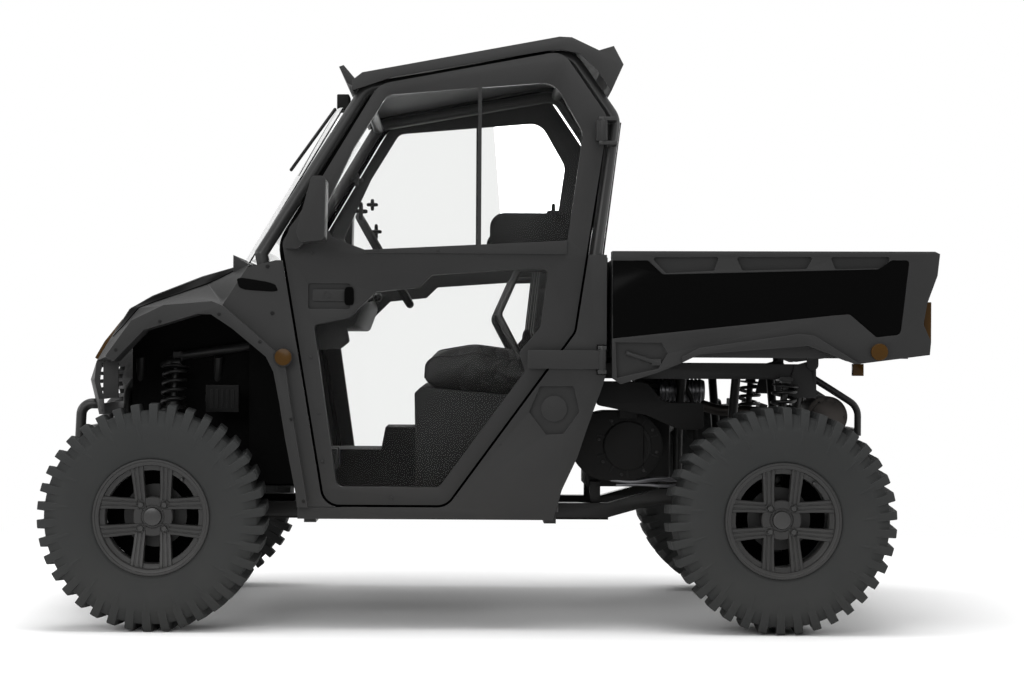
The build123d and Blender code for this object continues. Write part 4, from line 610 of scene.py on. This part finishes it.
for end, axle_x, middle, half in wheels:
    for side_name, side in (("left", 1), ("right", -1)):
        lip = half - 0.026
        face_y = middle + lip - 0.050
        wheel_middle = (axle_x, side * middle, axle_height)
        outwards = (0, side, 0)
        # barrel: flange, stepped lip, inner wall and the inboard flange, as (radius, height)
        barrel = [
            (0.1925, lip - 0.005), (0.1915, lip - 0.001), (0.1890, lip), (0.1855, lip - 0.001),
            (0.1838, lip - 0.005), (0.1820, lip - 0.006), (0.1730, lip - 0.007),
            (0.1715, lip - 0.010), (0.1700, lip - 0.024), (0.1660, lip - 0.026),
            (0.1560, lip - 0.027), (0.1540, lip - 0.030), (0.1530, lip - 0.070),
            (0.1600, lip - 0.095), (0.1710, -lip + 0.004), (0.1730, -lip), (0.1915, -lip),
            (0.1925, -lip + 0.002), (0.1925, -lip + 0.0065), (0.1905, -lip + 0.007),
            (0.1800, -lip + 0.007), (0.1782, -lip + 0.010), (0.1782, lip - 0.010),
            (0.1800, lip - 0.0072), (0.1905, lip - 0.0070), (0.1925, lip - 0.0065),
        ]
        made = [lathe(barrel + barrel[:1], wheel_middle, outwards, 96)]
        for quarter in range(4):
            made.append(spoke_pair(axle_x, face_y, side, quarter))
        hub = (axle_x, side * face_y, axle_height)
        made.append(lathe([(0, -0.026), (0.066, -0.026), (0.066, -0.004), (0.063, -0.0015),
                           (0.040, -0.0015), (0.039, -0.006), (0.036, -0.006), (0.036, -0.001),
                           (0.033, -0.001), (0, -0.001)], hub, outwards, 64))
        # the sleeve behind the hub and the brake disc
        disc = side * 0.650 - hub[1]
        back = abs(disc)
        made.append(lathe([(0.0206, -back), (0.105, -back), (0.105, -back + 0.006),
                           (0.060, -back + 0.006), (0.055, -back + 0.020), (0.038, -back + 0.024),
                           (0.038, -0.020), (0.0206, -0.020), (0.0206, -back)], hub, outwards, 64))
        rim = piece(f"{end}_{side_name}_rim_casting", f"wheel_{end}_{side_name}",
                    rim_paint, made, 38)
        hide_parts(f"wheel_{end}_{side_name}_rim")
        # nuts in round seats on the diagonals, the cap, and the valve near the lip
        fittings = [lathe([(0, 0.0005), (0.0305, 0.0005), (0.0312, 0.003), (0.0306, 0.010),
                           (0.0285, 0.0135), (0.022, 0.0155), (0, 0.0162)], hub, outwards, 48)]
        for quarter in range(4):
            angle = pi / 4 + quarter * pi / 2
            seat = (axle_x + nut_circle * cos(angle), hub[1],
                    axle_height + nut_circle * sin(angle))
            fittings.append(lathe([(0.0155, 0.0002), (0.0158, 0.0030), (0.0146, 0.0038),
                                   (0.0134, 0.0030), (0.0132, 0.0004), (0, 0.0004)],
                                  seat, outwards, 24))
            fittings.append(lathe([(0.0105, 0.0), (0.0105, 0.0100), (0.0085, 0.0125),
                                   (0, 0.0130)], seat, outwards, 6, 0.3))
        stem_turn = 2.25
        stem = (axle_x + 0.160 * cos(stem_turn), side * (middle + lip - 0.030),
                axle_height + 0.160 * sin(stem_turn))
        fittings.append(lathe([(0.0055, 0.0), (0.0055, 0.012), (0.0040, 0.014), (0.0040, 0.022),
                               (0, 0.023)], stem, outwards, 16))
        piece(f"{end}_{side_name}_rim_fittings", f"wheel_{end}_{side_name}",
              cap_paint, fittings, 38)

# ------------------------------------------------------------ springs and dampers
# Coil-over units: a wound steel spring between two seats on a damper with a plated rod, and
# an eye at each end. The coils replace the plain sleeves.


def rings_round(line, first, second, radius, sides):
    """A ring of points about each point of a line, in the plane of two directions."""
    angle = np.arange(sides) / sides * 2 * pi
    return line[:, None] + radius * (np.cos(angle)[:, None] * first[:, None]
                                     + np.sin(angle)[:, None] * second[:, None])


def hose(points, radius, sides=12, guide=(0, 1, 0)):
    """A round tube along a line: each ring stands square to it, and both ends close."""
    points = np.array(points, float)
    tangent = np.gradient(points, axis=0)
    tangent /= np.linalg.norm(tangent, axis=1, keepdims=True)
    guide = np.broadcast_to(np.array(guide, float), points.shape)
    first = guide - (guide * tangent).sum(axis=1, keepdims=True) * tangent
    first = first / np.linalg.norm(first, axis=1, keepdims=True)
    second = np.cross(tangent, first)
    rings = rings_round(points, first, second, radius, sides)
    ends = np.repeat(points[[0, -1], None], sides, axis=1)
    return surface(np.concatenate([ends[:1], rings, ends[1:]]), wrap_columns=True)


def coil(low, high, radius, wire, turns):
    """A helix from low to high: it turns evenly while it climbs, flat at both ends."""
    low, high = np.array(low, float), np.array(high, float)
    axis = (high - low) / np.linalg.norm(high - low)
    across = np.cross(axis, (1.0, 0.0, 0.0))
    across /= np.linalg.norm(across)
    third = np.cross(axis, across)
    turn = np.linspace(0, turns * 2 * pi, int(turns * 26))
    climb = np.interp(turn / turn[-1], [0, 0.06, 0.94, 1], [0, 0.035, 0.965, 1])
    outwards = np.cos(turn)[:, None] * across + np.sin(turn)[:, None] * third
    line = low + climb[:, None] * (high - low) + radius * outwards
    return hose(line, wire, 10, outwards)


spring_steel = finish("spring_steel", "#161616", 0.36, grain=300, depth=0.00004, specular=0.25)
springs, dampers = [], []
for foot, head, share in (
    ((1.100, 0.4498, 0.5269), (1.088, 0.392, 0.887), 0.58),
    ((-0.984, 0.445, 0.5349), (-1.011, 0.460, 0.832), 0.72),
):
    for side in (1, -1):
        foot_point = np.array(foot) * (1, side, 1)
        head_point = np.array(head) * (1, side, 1)
        rise = head_point - foot_point
        length = np.linalg.norm(rise)
        seat_low = head_point - rise * (share + 0.06)
        seat_high = head_point - rise * 0.06
        spring_length = length * share
        springs.append(coil(seat_low + rise / length * 0.009, seat_high - rise / length * 0.008,
                            0.0385, 0.0068, 6.5))
        below = length * (1 - share - 0.06)
        dampers.append(lathe([
            (0, 0.004), (0.016, 0.004), (0.019, 0.010), (0.020, 0.020), (0.020, below - 0.01),
            (0.024, below - 0.004), (0.0455, below - 0.002), (0.046, below + 0.002),
            (0.046, below + 0.006), (0.038, below + 0.008), (0.026, below + 0.014),
            (0.024, below + 0.5 * spring_length), (0.020, below + 0.52 * spring_length),
            (0.012, below + 0.53 * spring_length), (0.012, length * 0.93),
            (0.030, length * 0.935), (0.045, length * 0.94), (0.046, length * 0.945),
            (0.045, length * 0.955), (0.022, length * 0.965), (0.018, length * 0.98),
            (0, length * 0.985),
        ], foot_point, rise, 32))
        for eye in (foot_point + rise * 0.012, head_point - rise * 0.012):
            dampers.append(lathe([(0.006, -0.017), (0.015, -0.017), (0.0165, -0.014),
                                  (0.0165, 0.014), (0.015, 0.017), (0.006, 0.017),
                                  (0.006, -0.017)], eye, (1, 0, 0), 24))
piece("suspension_coils", "chassis", spring_steel, springs, 40)
damper_piece = piece("suspension_dampers", "chassis", spring_steel, dampers, 35)
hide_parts("shocks")

# ------------------------------------------------------------ seats
# Two bucket seats: foam under embossed vinyl, sewn round the edge with a welt. The foam is
# swollen by a short cloth simulation from a smaller start, and the welt is laid on after.


def positions(mesh):
    """The places of a mesh's vertices, one row each."""
    points = np.empty(len(mesh.vertices) * 3)
    mesh.vertices.foreach_get("co", points)
    return points.reshape(-1, 3)


def swollen(node, shrink, cap, name):
    """The node's solids, drawn in, filled with pressure as cloth, no point moving past cap."""
    mesh = merged(node)
    points = positions(mesh)
    for half in (points[:, 1] > 0, points[:, 1] < 0):
        low, high = points[half].min(axis=0), points[half].max(axis=0)
        middle, extent = (low + high) / 2, high - low
        points[half] = middle + (points[half] - middle) * (1 - 2 * shrink / extent)
    mesh.vertices.foreach_set("co", points.ravel())
    pad = placed(name, mesh)
    remesh = pad.modifiers.new("even_mesh", "REMESH")
    remesh.mode = "VOXEL"
    remesh.voxel_size = 0.006
    smoother = pad.modifiers.new("relax", "SMOOTH")
    smoother.iterations = 6
    graph = bpy.context.evaluated_depsgraph_get()
    mesh = bpy.data.meshes.new_from_object(pad.evaluated_get(graph))
    pad.modifiers.clear()
    pad.data = mesh
    start = positions(mesh)
    cloth = pad.modifiers.new("foam", "CLOTH")
    cloth.settings.quality = 5
    cloth.settings.use_pressure = True
    cloth.settings.uniform_pressure_force = 4.0
    cloth.settings.effector_weights.gravity = 0.0
    cloth.settings.tension_stiffness = 12
    cloth.settings.compression_stiffness = 12
    cloth.point_cache.frame_start = 1
    cloth.point_cache.frame_end = 20
    for number in range(1, 21):
        scene.frame_set(number)
    graph = bpy.context.evaluated_depsgraph_get()
    swell = bpy.data.meshes.new_from_object(pad.evaluated_get(graph))
    pad.modifiers.clear()
    scene.frame_set(1)
    move = positions(swell) - start
    size = np.linalg.norm(move, axis=1, keepdims=True)
    move = move * np.minimum(1.0, cap / np.maximum(size, 1e-9))
    mesh.vertices.foreach_set("co", (start + move).ravel())
    rounder = pad.modifiers.new("rounder", "SUBSURF")
    rounder.levels = rounder.render_levels = 1
    mesh.shade_smooth()
    mesh.materials.clear()
    mesh.materials.append(seat_vinyl)
    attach(pad, "chassis")
    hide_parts(node)
    return pad


cushion_pad = swollen("seat_cushions", 0.012, 0.022, "cushion_pads")
back_pad = swollen("seat_backs", 0.012, 0.022, "backrest_pads")


def rounded(points, rounds=3):
    """A line whose corners are cut a quarter from each end, several times over."""
    points = np.array(points, float)
    for _ in range(rounds):
        near = points[:-1] * 0.75 + points[1:] * 0.25
        far = points[:-1] * 0.25 + points[1:] * 0.75
        points = np.vstack([points[:1], np.stack([near, far], axis=1).reshape(-1, points.shape[1]),
                            points[-1:]])
    return points


def laid_on(line, pad, lift):
    """A line moved to the pad's nearest surface and lifted off it."""
    graph = bpy.context.evaluated_depsgraph_get()
    solid = pad.evaluated_get(graph)
    found = [solid.closest_point_on_mesh(point) for point in line.tolist()]
    return np.array([list(spot + normal * lift) for _, spot, normal, _ in found])


welts = []
seat_middle, seat_reach = 0.310, 0.235
welt_radius, welt_lift = 0.0030, 0.0012
for side in (1, -1):
    for edge in (-1, 1):
        y = side * seat_middle + edge * seat_reach
        welts.append((cushion_pad, rounded([(0.245, y, 0.83), (0.240, y, 0.905), (0.150, y, 0.930),
                                            (0.02, y, 0.932), (-0.21, y, 0.895)], 4)))
        welts.append((back_pad, rounded([(-0.145, y * 0.995, 0.93), (-0.170, y * 0.995, 1.15),
                                         (-0.200, y * 0.995, 1.385)], 4)))
    for share in (-0.12, 0.12):
        y = side * seat_middle + share
        welts.append((cushion_pad, rounded([(0.235, y, 0.915), (0.10, y, 0.94),
                                            (-0.19, y, 0.915)], 4)))
        welts.append((back_pad, rounded([(-0.15, y, 0.96), (-0.17, y, 1.15),
                                         (-0.195, y, 1.36)], 4)))
piece("seat_welts", "chassis", seat_vinyl,
      [hose(laid_on(line, pad, welt_lift), welt_radius, 8, (0, 1, 0.3)) for pad, line in welts],
      60)

# ------------------------------------------------------------ front fenders' trim
# A gloss strip on each crown, a blank gloss plate by the door, the reflector's rim and the
# push rivets that hold the moulding.


def skin(name, body, material, grid, thickness=0.003, edge=0.0008):
    """An open sheet given by its grid of points, with a thickness and softened rims."""
    vertices, quads = surface(np.array(grid, float))
    mesh = bpy.data.meshes.new(name)
    mesh.from_pydata(vertices.tolist(), [], quads.tolist())
    made = shown(name, mesh, body, material, 30)
    wall = made.modifiers.new("wall", "SOLIDIFY")
    wall.thickness = thickness
    wall.offset = 0.0
    rim = made.modifiers.new("rim", "BEVEL")
    rim.width = edge
    rim.segments = 2
    rim.angle_limit = radians(50)


def plate(outline, low, high, edge):
    """A flat moulding: an outline, star-shaped about its middle, carried from low to high,
    with both rims drawn in. Outlines are (x, z) pairs carried along Y."""
    outline = np.array(outline, float)
    before, after = np.roll(outline, 1, axis=0), np.roll(outline, -1, axis=0)
    first = outline - before
    second = after - outline
    first /= np.linalg.norm(first, axis=1, keepdims=True)
    second /= np.linalg.norm(second, axis=1, keepdims=True)
    inner = np.stack([-first[:, 1], first[:, 0]], 1) + np.stack([-second[:, 1], second[:, 0]], 1)
    inner /= np.maximum((inner**2).sum(axis=1, keepdims=True), 0.6) / 2
    area = (before[:, 0] * outline[:, 1] - outline[:, 0] * before[:, 1]).sum()
    drawn = outline + inner * edge * np.sign(area)
    middle = np.broadcast_to(outline.mean(axis=0), outline.shape)
    rows = [(middle, low), (drawn, low), (outline, low + np.sign(high - low) * edge),
            (outline, high - np.sign(high - low) * edge), (drawn, high), (middle, high)]
    grid = np.stack([np.insert(flat, 1, level, axis=1) for flat, level in rows])
    return surface(grid, wrap_columns=True)


def soft(outline, rounds=2):
    """A closed outline with its corners cut off at a sixth from each end, several times."""
    outline = np.array(outline, float)
    for _ in range(rounds):
        after = np.roll(outline, -1, axis=0)
        outline = np.stack([outline * 0.84 + after * 0.16, outline * 0.16 + after * 0.84],
                           axis=1).reshape(-1, 2)
    return outline


def round_heads(spots, axis, radius=0.006, height=0.003, sides=12):
    """Domed heads at several spots."""
    return [lathe([(radius, -0.001), (radius, height * 0.45), (radius * 0.8, height * 0.85),
                   (radius * 0.45, height), (0, height * 0.9)], spot, axis, sides)
            for spot in spots]


crown = np.array([(1.326, 0.890), (1.288, 0.954), (1.218, 1.064), (1.141, 1.109),
                  (0.974, 1.175), (0.812, 1.222)])
crown_low = np.array([(1.275, 0.905), (1.190, 1.023), (1.083, 1.075), (0.925, 1.088),
                      (0.893, 1.076), (0.812, 1.200)])
fender_inner, fender_outer = 0.600, 0.715
for side_name, side in (("left", 1), ("right", -1)):
    # strip along the crown: a share of the way from its top line to the ridge
    steps = np.linspace(1.05, 4.86, 48)
    index = np.arange(6)
    top = np.stack([np.interp(steps, index, crown[:, k]) for k in (0, 1)], axis=1)
    low = np.stack([np.interp(steps, index, crown_low[:, k]) for k in (0, 1)], axis=1)
    taper = np.interp(steps, [1.05, 1.3, 4.5, 4.75, 4.86], [0.0, 1.0, 1.0, 0.75, 0.1])
    across = np.linspace(0, 1, 7)[:, None] * taper * 0.23 + 0.05 + (1 - taper) * 0.10
    line = top[None] + (low - top)[None] * across[..., None]
    y = fender_inner + (fender_outer - fender_inner) * across
    grid = np.stack([line[..., 0], side * (y + 0.0006), line[..., 1] + 0.0012], axis=-1)
    skin(f"fender_{side_name}_strip", "chassis", gloss_black, grid, 0.003)
    nameless = soft([(0.848, 1.171), (0.720, 1.150), (0.706, 1.120), (0.836, 1.128)], 3)
    trim = [plate(nameless, side * 0.7150, side * 0.7175, 0.0008)]
    piece(f"fender_{side_name}_blank_plate", "chassis", gloss_black, trim, 30)
    rivets = round_heads([(x, side * 0.7152, z) for x, z in
                          ((0.744, 1.205), (0.727, 1.050), (0.688, 0.800), (0.652, 0.560),
                           (0.640, 0.452))], (0, side, 0), 0.007, 0.003)
    rivets += round_heads([(x, side * 0.7452, z) for x, z in
                           ((1.240, 0.925), (1.095, 1.020), (0.900, 1.045), (0.765, 0.955),
                            (0.660, 0.700), (0.618, 0.430))], (0, side, 0), 0.006, 0.0025)
    rivets.append(lathe([(0.0275, 0.0), (0.0325, 0.0), (0.0330, 0.002), (0.0325, 0.005),
                         (0.0300, 0.0065), (0.0282, 0.006), (0.0275, 0.0)],
                        (0.688, side * 0.7452, 0.905), (0, side, 0), 40))
    piece(f"fender_{side_name}_fixings", "chassis", dark_plastic, rivets, 40)

# ------------------------------------------------------------ doors' trim
# A near-black seal in each gap, its black partly painted shade of the gap, and on each door the
# lower hinge's strap with its raised bar, the bolts, the finger slot behind the handle's flap with
# a near-black plate as painted shade, and the key barrel.
# near-black with almost no sheen: painted shade in the door gaps, the finger slots and inside the
# wheels behind the rims; on the belts it is the webbing's own black
black_void = finish("black_void", "#060606", 0.9, grain=500, depth=0.0001, edge=0.0, dust=0.0,
                    specular=0.02)
belt_height, cage_lean = 1.304, 0.1132
seal_radius, seal_depth = 0.0095, 0.652
seal_middle, seal_growth = np.array([0.12, 1.1]), 1.008
door_face, strap_face = 0.7130, 0.7205
# corners of the door's opening: x, z, radius
aperture = [(0.553, 0.413, 0.06), (0.701, 1.287, 0.04), (0.384, 1.820, 0.09),
            (-0.233, 1.937, 0.07), (-0.389, 1.709, 0.08), (-0.316, 1.304, 0.01),
            (-0.277, 0.994, 0.04), (0.147, 0.413, 0.06)]
strap_outline = soft([(-0.118, 0.8745), (-0.122, 0.921), (-0.205, 0.921), (-0.165, 0.872)], 2)
bar_outline = soft([(-0.214, 0.893), (-0.214, 0.907), (-0.334, 0.902), (-0.334, 0.888)], 2)
slot_outline = soft([(0.489, 1.078), (0.489, 1.137), (0.459, 1.139), (0.457, 1.079)], 2)
key_slit = soft([(0.5438, 1.107), (0.5462, 1.107), (0.5462, 1.117), (0.5438, 1.117)], 1)
key_profile = [(0.0125, -0.001), (0.0125, 0.0015), (0.0110, 0.0022), (0.0100, 0.0012),
               (0.0060, 0.0012), (0.0060, 0.0024), (0, 0.0024)]
strap_bolts = [(-0.132, 0.910), (-0.171, 0.909), (-0.143, 0.879)]
frame_bolts = [(0.600, 0.905), (0.573, 0.720), (0.560, 0.560), (0.600, 1.250), (0.380, 1.262),
               (0.180, 1.262), (-0.030, 0.620), (0.110, 0.448), (0.330, 0.440)]


def filleted(corners):
    """A closed outline: each corner (x, z, radius) becomes a quadratic curve that starts and
    ends on its two sides."""
    corners = np.array(corners, float)
    points = corners[:, :2]
    before, after = np.roll(points, 1, axis=0) - points, np.roll(points, -1, axis=0) - points
    before_length = np.linalg.norm(before, axis=1, keepdims=True)
    after_length = np.linalg.norm(after, axis=1, keepdims=True)
    reach = np.minimum(corners[:, 2:], 0.45 * np.minimum(before_length, after_length))
    start, stop = points + before / before_length * reach, points + after / after_length * reach
    t = np.linspace(0, 1, 6)[None, :, None]
    curve = (start[:, None] * (1 - t) ** 2 + points[:, None] * 2 * t * (1 - t)
             + stop[:, None] * t**2)
    return curve.reshape(-1, 2)


def closed_tube(outline, depths, radius):
    """A round tube along a closed outline in the side view, with a depth for each point."""
    line = np.stack([outline[:, 0], depths, outline[:, 1]], axis=1)
    before, after = np.roll(line, 1, axis=0), np.roll(line, -1, axis=0)
    tangent = (after - before) / np.linalg.norm(after - before, axis=1, keepdims=True)
    first = np.cross(tangent, (0.0, 1.0, 0.0))
    first /= np.linalg.norm(first, axis=1, keepdims=True)
    rings = rings_round(line, first, np.cross(tangent, first), radius, 8)
    return surface(rings, wrap_rows=True, wrap_columns=True)


def belt_lean(height, foot):
    """Depth that is the foot's up to the belt, then falls with height as the cage leans."""
    return foot - np.maximum(height - belt_height, 0) * cage_lean


for side_name, side in (("left", 1), ("right", -1)):
    body, outwards = f"door_{side_name}", (0, side, 0)
    seal = seal_middle + (filleted(aperture) - seal_middle) * seal_growth
    depths = side * belt_lean(seal[:, 1], seal_depth)
    # the seal's near-black stands partly for the painted shade of the gap
    piece(f"{body}_seal", "chassis", black_void,
          [closed_tube(seal, depths, seal_radius)], 60)
    piece(f"{body}_strap", body, body_plastic,
          [plate(strap_outline, side * door_face, side * (strap_face + 0.001), 0.0012),
           plate(bar_outline, side * door_face, side * (strap_face + 0.004), 0.0015)], 30)
    bolts = round_heads([(x, side * strap_face, z) for x, z in strap_bolts], outwards,
                        0.0065, 0.004, 6)
    bolts += round_heads([(x, side * 0.7135, z) for x, z in frame_bolts], outwards,
                         0.0055, 0.0025, 6)
    piece(f"{body}_bolts", body, cast_metal, bolts, 30)
    # painted shade: a near-black plate at the back of the finger slot
    piece(f"{body}_finger_slot", body, black_void,
          [plate(slot_outline, side * 0.7060, side * 0.7108, 0.0006)], 30)
    piece(f"{body}_key_barrel", body, cast_metal,
          [lathe(key_profile, (0.545, side * 0.7030, 1.112), outwards, 32),
           plate(key_slit, side * 0.7050, side * 0.7058, 0.0002)], 30)

# ------------------------------------------------------------ cab and wheel details
# Near-black shields behind the rims whose black is painted shade inside the wheels, cross-shaped
# latches on the panes, and for each seat a belt from the rear post to the seat's outer edge and a
# buckle on the inner one.
shield_profile = [(0, 0), (0.150, 0), (0.158, 0.003), (0.163, 0.003), (0.163, 0.0005),
                  (0.158, -0.002), (0, -0.002)]
pane_depth = 0.642
# latches: x, z, height of the upright bar
latch_places = ((0.440, 1.395, 0.060), (-0.205, 1.395, 0.060), (0.455, 1.500, 0.045))
belt_top, belt_foot = np.array([-0.300, 0.520, 1.400]), np.array([-0.190, 0.520, 0.935])
belt_bow, belt_half_width = 0.045, np.array([0.0, 0.023, 0.0])
buckle_outline = soft([(-0.150, 0.925), (-0.115, 0.930), (-0.125, 1.010), (-0.160, 1.005)], 2)


def bar(x, z, half_wide, half_tall):
    """The softened outline of an upright rectangle about a point."""
    return soft([(x - half_wide, z - half_tall), (x + half_wide, z - half_tall),
                 (x + half_wide, z + half_tall), (x - half_wide, z + half_tall)], 2)


for side_name, side in (("left", 1), ("right", -1)):
    for end, body, x, y in (("front", f"knuckle_{side_name}", 1.118, 0.6425),
                            ("rear", "chassis", -0.962, 0.600)):
        # painted shade: the shield's near-black stands for the shade inside the wheel
        piece(f"brake_shield_{end}_{side_name}", body, black_void,
              [lathe(shield_profile, (x, side * y, axle_height), (0, side, 0), 64)], 30)
    latches = []
    for x, z, tall in latch_places:
        pane = side * belt_lean(z, pane_depth)
        latches.append(plate(bar(x, z, 0.007, tall / 2), pane - side * 0.012, pane, 0.002))
        latches.append(plate(bar(x, z, 0.022, 0.007), pane - side * 0.020,
                             pane - side * 0.008, 0.002))
    piece(f"window_latches_{side_name}", f"door_{side_name}", dark_plastic,
          latches, 30)
    t = np.linspace(0, 1, 24)[:, None]
    strap = belt_top + (belt_foot - belt_top) * t
    strap[:, 0] += belt_bow * np.sin(pi * t[:, 0])
    grid = np.stack([strap - belt_half_width, strap, strap + belt_half_width], axis=1)
    skin(f"belt_{side_name}", "chassis", black_void, grid * (1, side, 1),
         0.0018, 0.0004)
    piece(f"belt_buckle_{side_name}", "chassis", dark_plastic,
          [plate(buckle_outline, side * 0.085, side * 0.105, 0.003)], 30)

# ------------------------------------------------------------ engine bay
# Cooling fins on the cylinder, the belt case's ring, ribs and bolts, two pipes and a hose in
# front of the rear axle, and the muffler's end bolts.
cylinder_y, cylinder_z = 0.235, 0.795
fin_start, fin_pitch = -0.602, 0.0135
fin_profile = [(0, 0), (0.046, 0), (0.048, 0.0015), (0.048, 0.0035), (0.046, 0.005), (0, 0.005)]
barrel_profile = [(0, 0), (0.038, 0), (0.038, 0.150), (0.034, 0.158), (0, 0.158)]
case_x, case_face, case_z = -0.476, 0.400, 0.605
rib_turns = np.radians([20, 55, 90, 125, 160, 200, 235, 270, 305, 340])
muffler_x, muffler_end, muffler_z = -1.190, 0.240, 0.705


def bolt_ring(name, x, y, z, circle, turns, radius):
    """Hexagon heads on a circle that faces the left side."""
    spots = [(x + circle * cos(turn), y, z + circle * sin(turn)) for turn in turns]
    piece(name, "chassis", cast_metal,
          round_heads(spots, (0, 1, 0), radius, 0.0045, 6), 30)


fins = [lathe(fin_profile, (fin_start - fin_pitch * step, cylinder_y, cylinder_z), (-1, 0, 0), 40)
        for step in range(11)]
fins.append(lathe(barrel_profile, (-0.598, cylinder_y, cylinder_z), (-1, 0, 0), 40))
piece("cylinder_fins", "chassis", bare_aluminium, fins, 30)
belt_ring = [(0.070, -0.002), (0.070, 0.004), (0.073, 0.006), (0.079, 0.006), (0.082, 0.004),
             (0.082, -0.002)]
case_parts = [lathe(belt_ring + belt_ring[:1], (case_x, case_face, case_z), (0, 1, 0), 64)]
for turn in rib_turns:
    inner = np.array([cos(turn) * 0.084, sin(turn) * 0.084])
    outer = np.array([cos(turn) * 0.112, sin(turn) * 0.112])
    across = np.array([-sin(turn), cos(turn)]) * 0.003
    corners = np.array([inner - across, inner + across, outer + across, outer - across])
    corners += (case_x, case_z)
    case_parts.append(plate(soft(corners, 1), 0.398, 0.4035, 0.001))
piece("belt_case_ribs", "chassis", dark_plastic, case_parts, 30)
bolt_ring("belt_case_bolts", case_x, case_face, case_z, 0.102, np.radians(np.arange(8) * 45 + 12),
          0.0062)
# pipes and the hose: route, radius
routes = (
    ([(-0.42, 0.36, 0.486), (-0.50, 0.37, 0.478), (-0.58, 0.36, 0.490), (-0.66, 0.34, 0.484),
      (-0.74, 0.33, 0.500)], 0.0085),
    ([(-0.44, 0.34, 0.466), (-0.53, 0.35, 0.470), (-0.61, 0.35, 0.462), (-0.70, 0.33, 0.470)],
     0.006),
    ([(-0.60, 0.30, 0.870), (-0.66, 0.32, 0.845), (-0.71, 0.33, 0.760), (-0.72, 0.33, 0.640),
      (-0.70, 0.33, 0.540)], 0.008),
)
pipes = [hose(rounded(route), radius, 12, (0.1, 1, 0.2)) for route, radius in routes]
piece("bay_pipes", "chassis", bare_aluminium, pipes[:2], 50)
piece("bay_hose", "chassis", soft_rubber, pipes[2:], 50)
bolt_ring("muffler_bolts", muffler_x, muffler_end, muffler_z, 0.056, np.radians(np.arange(6) * 60),
          0.006)
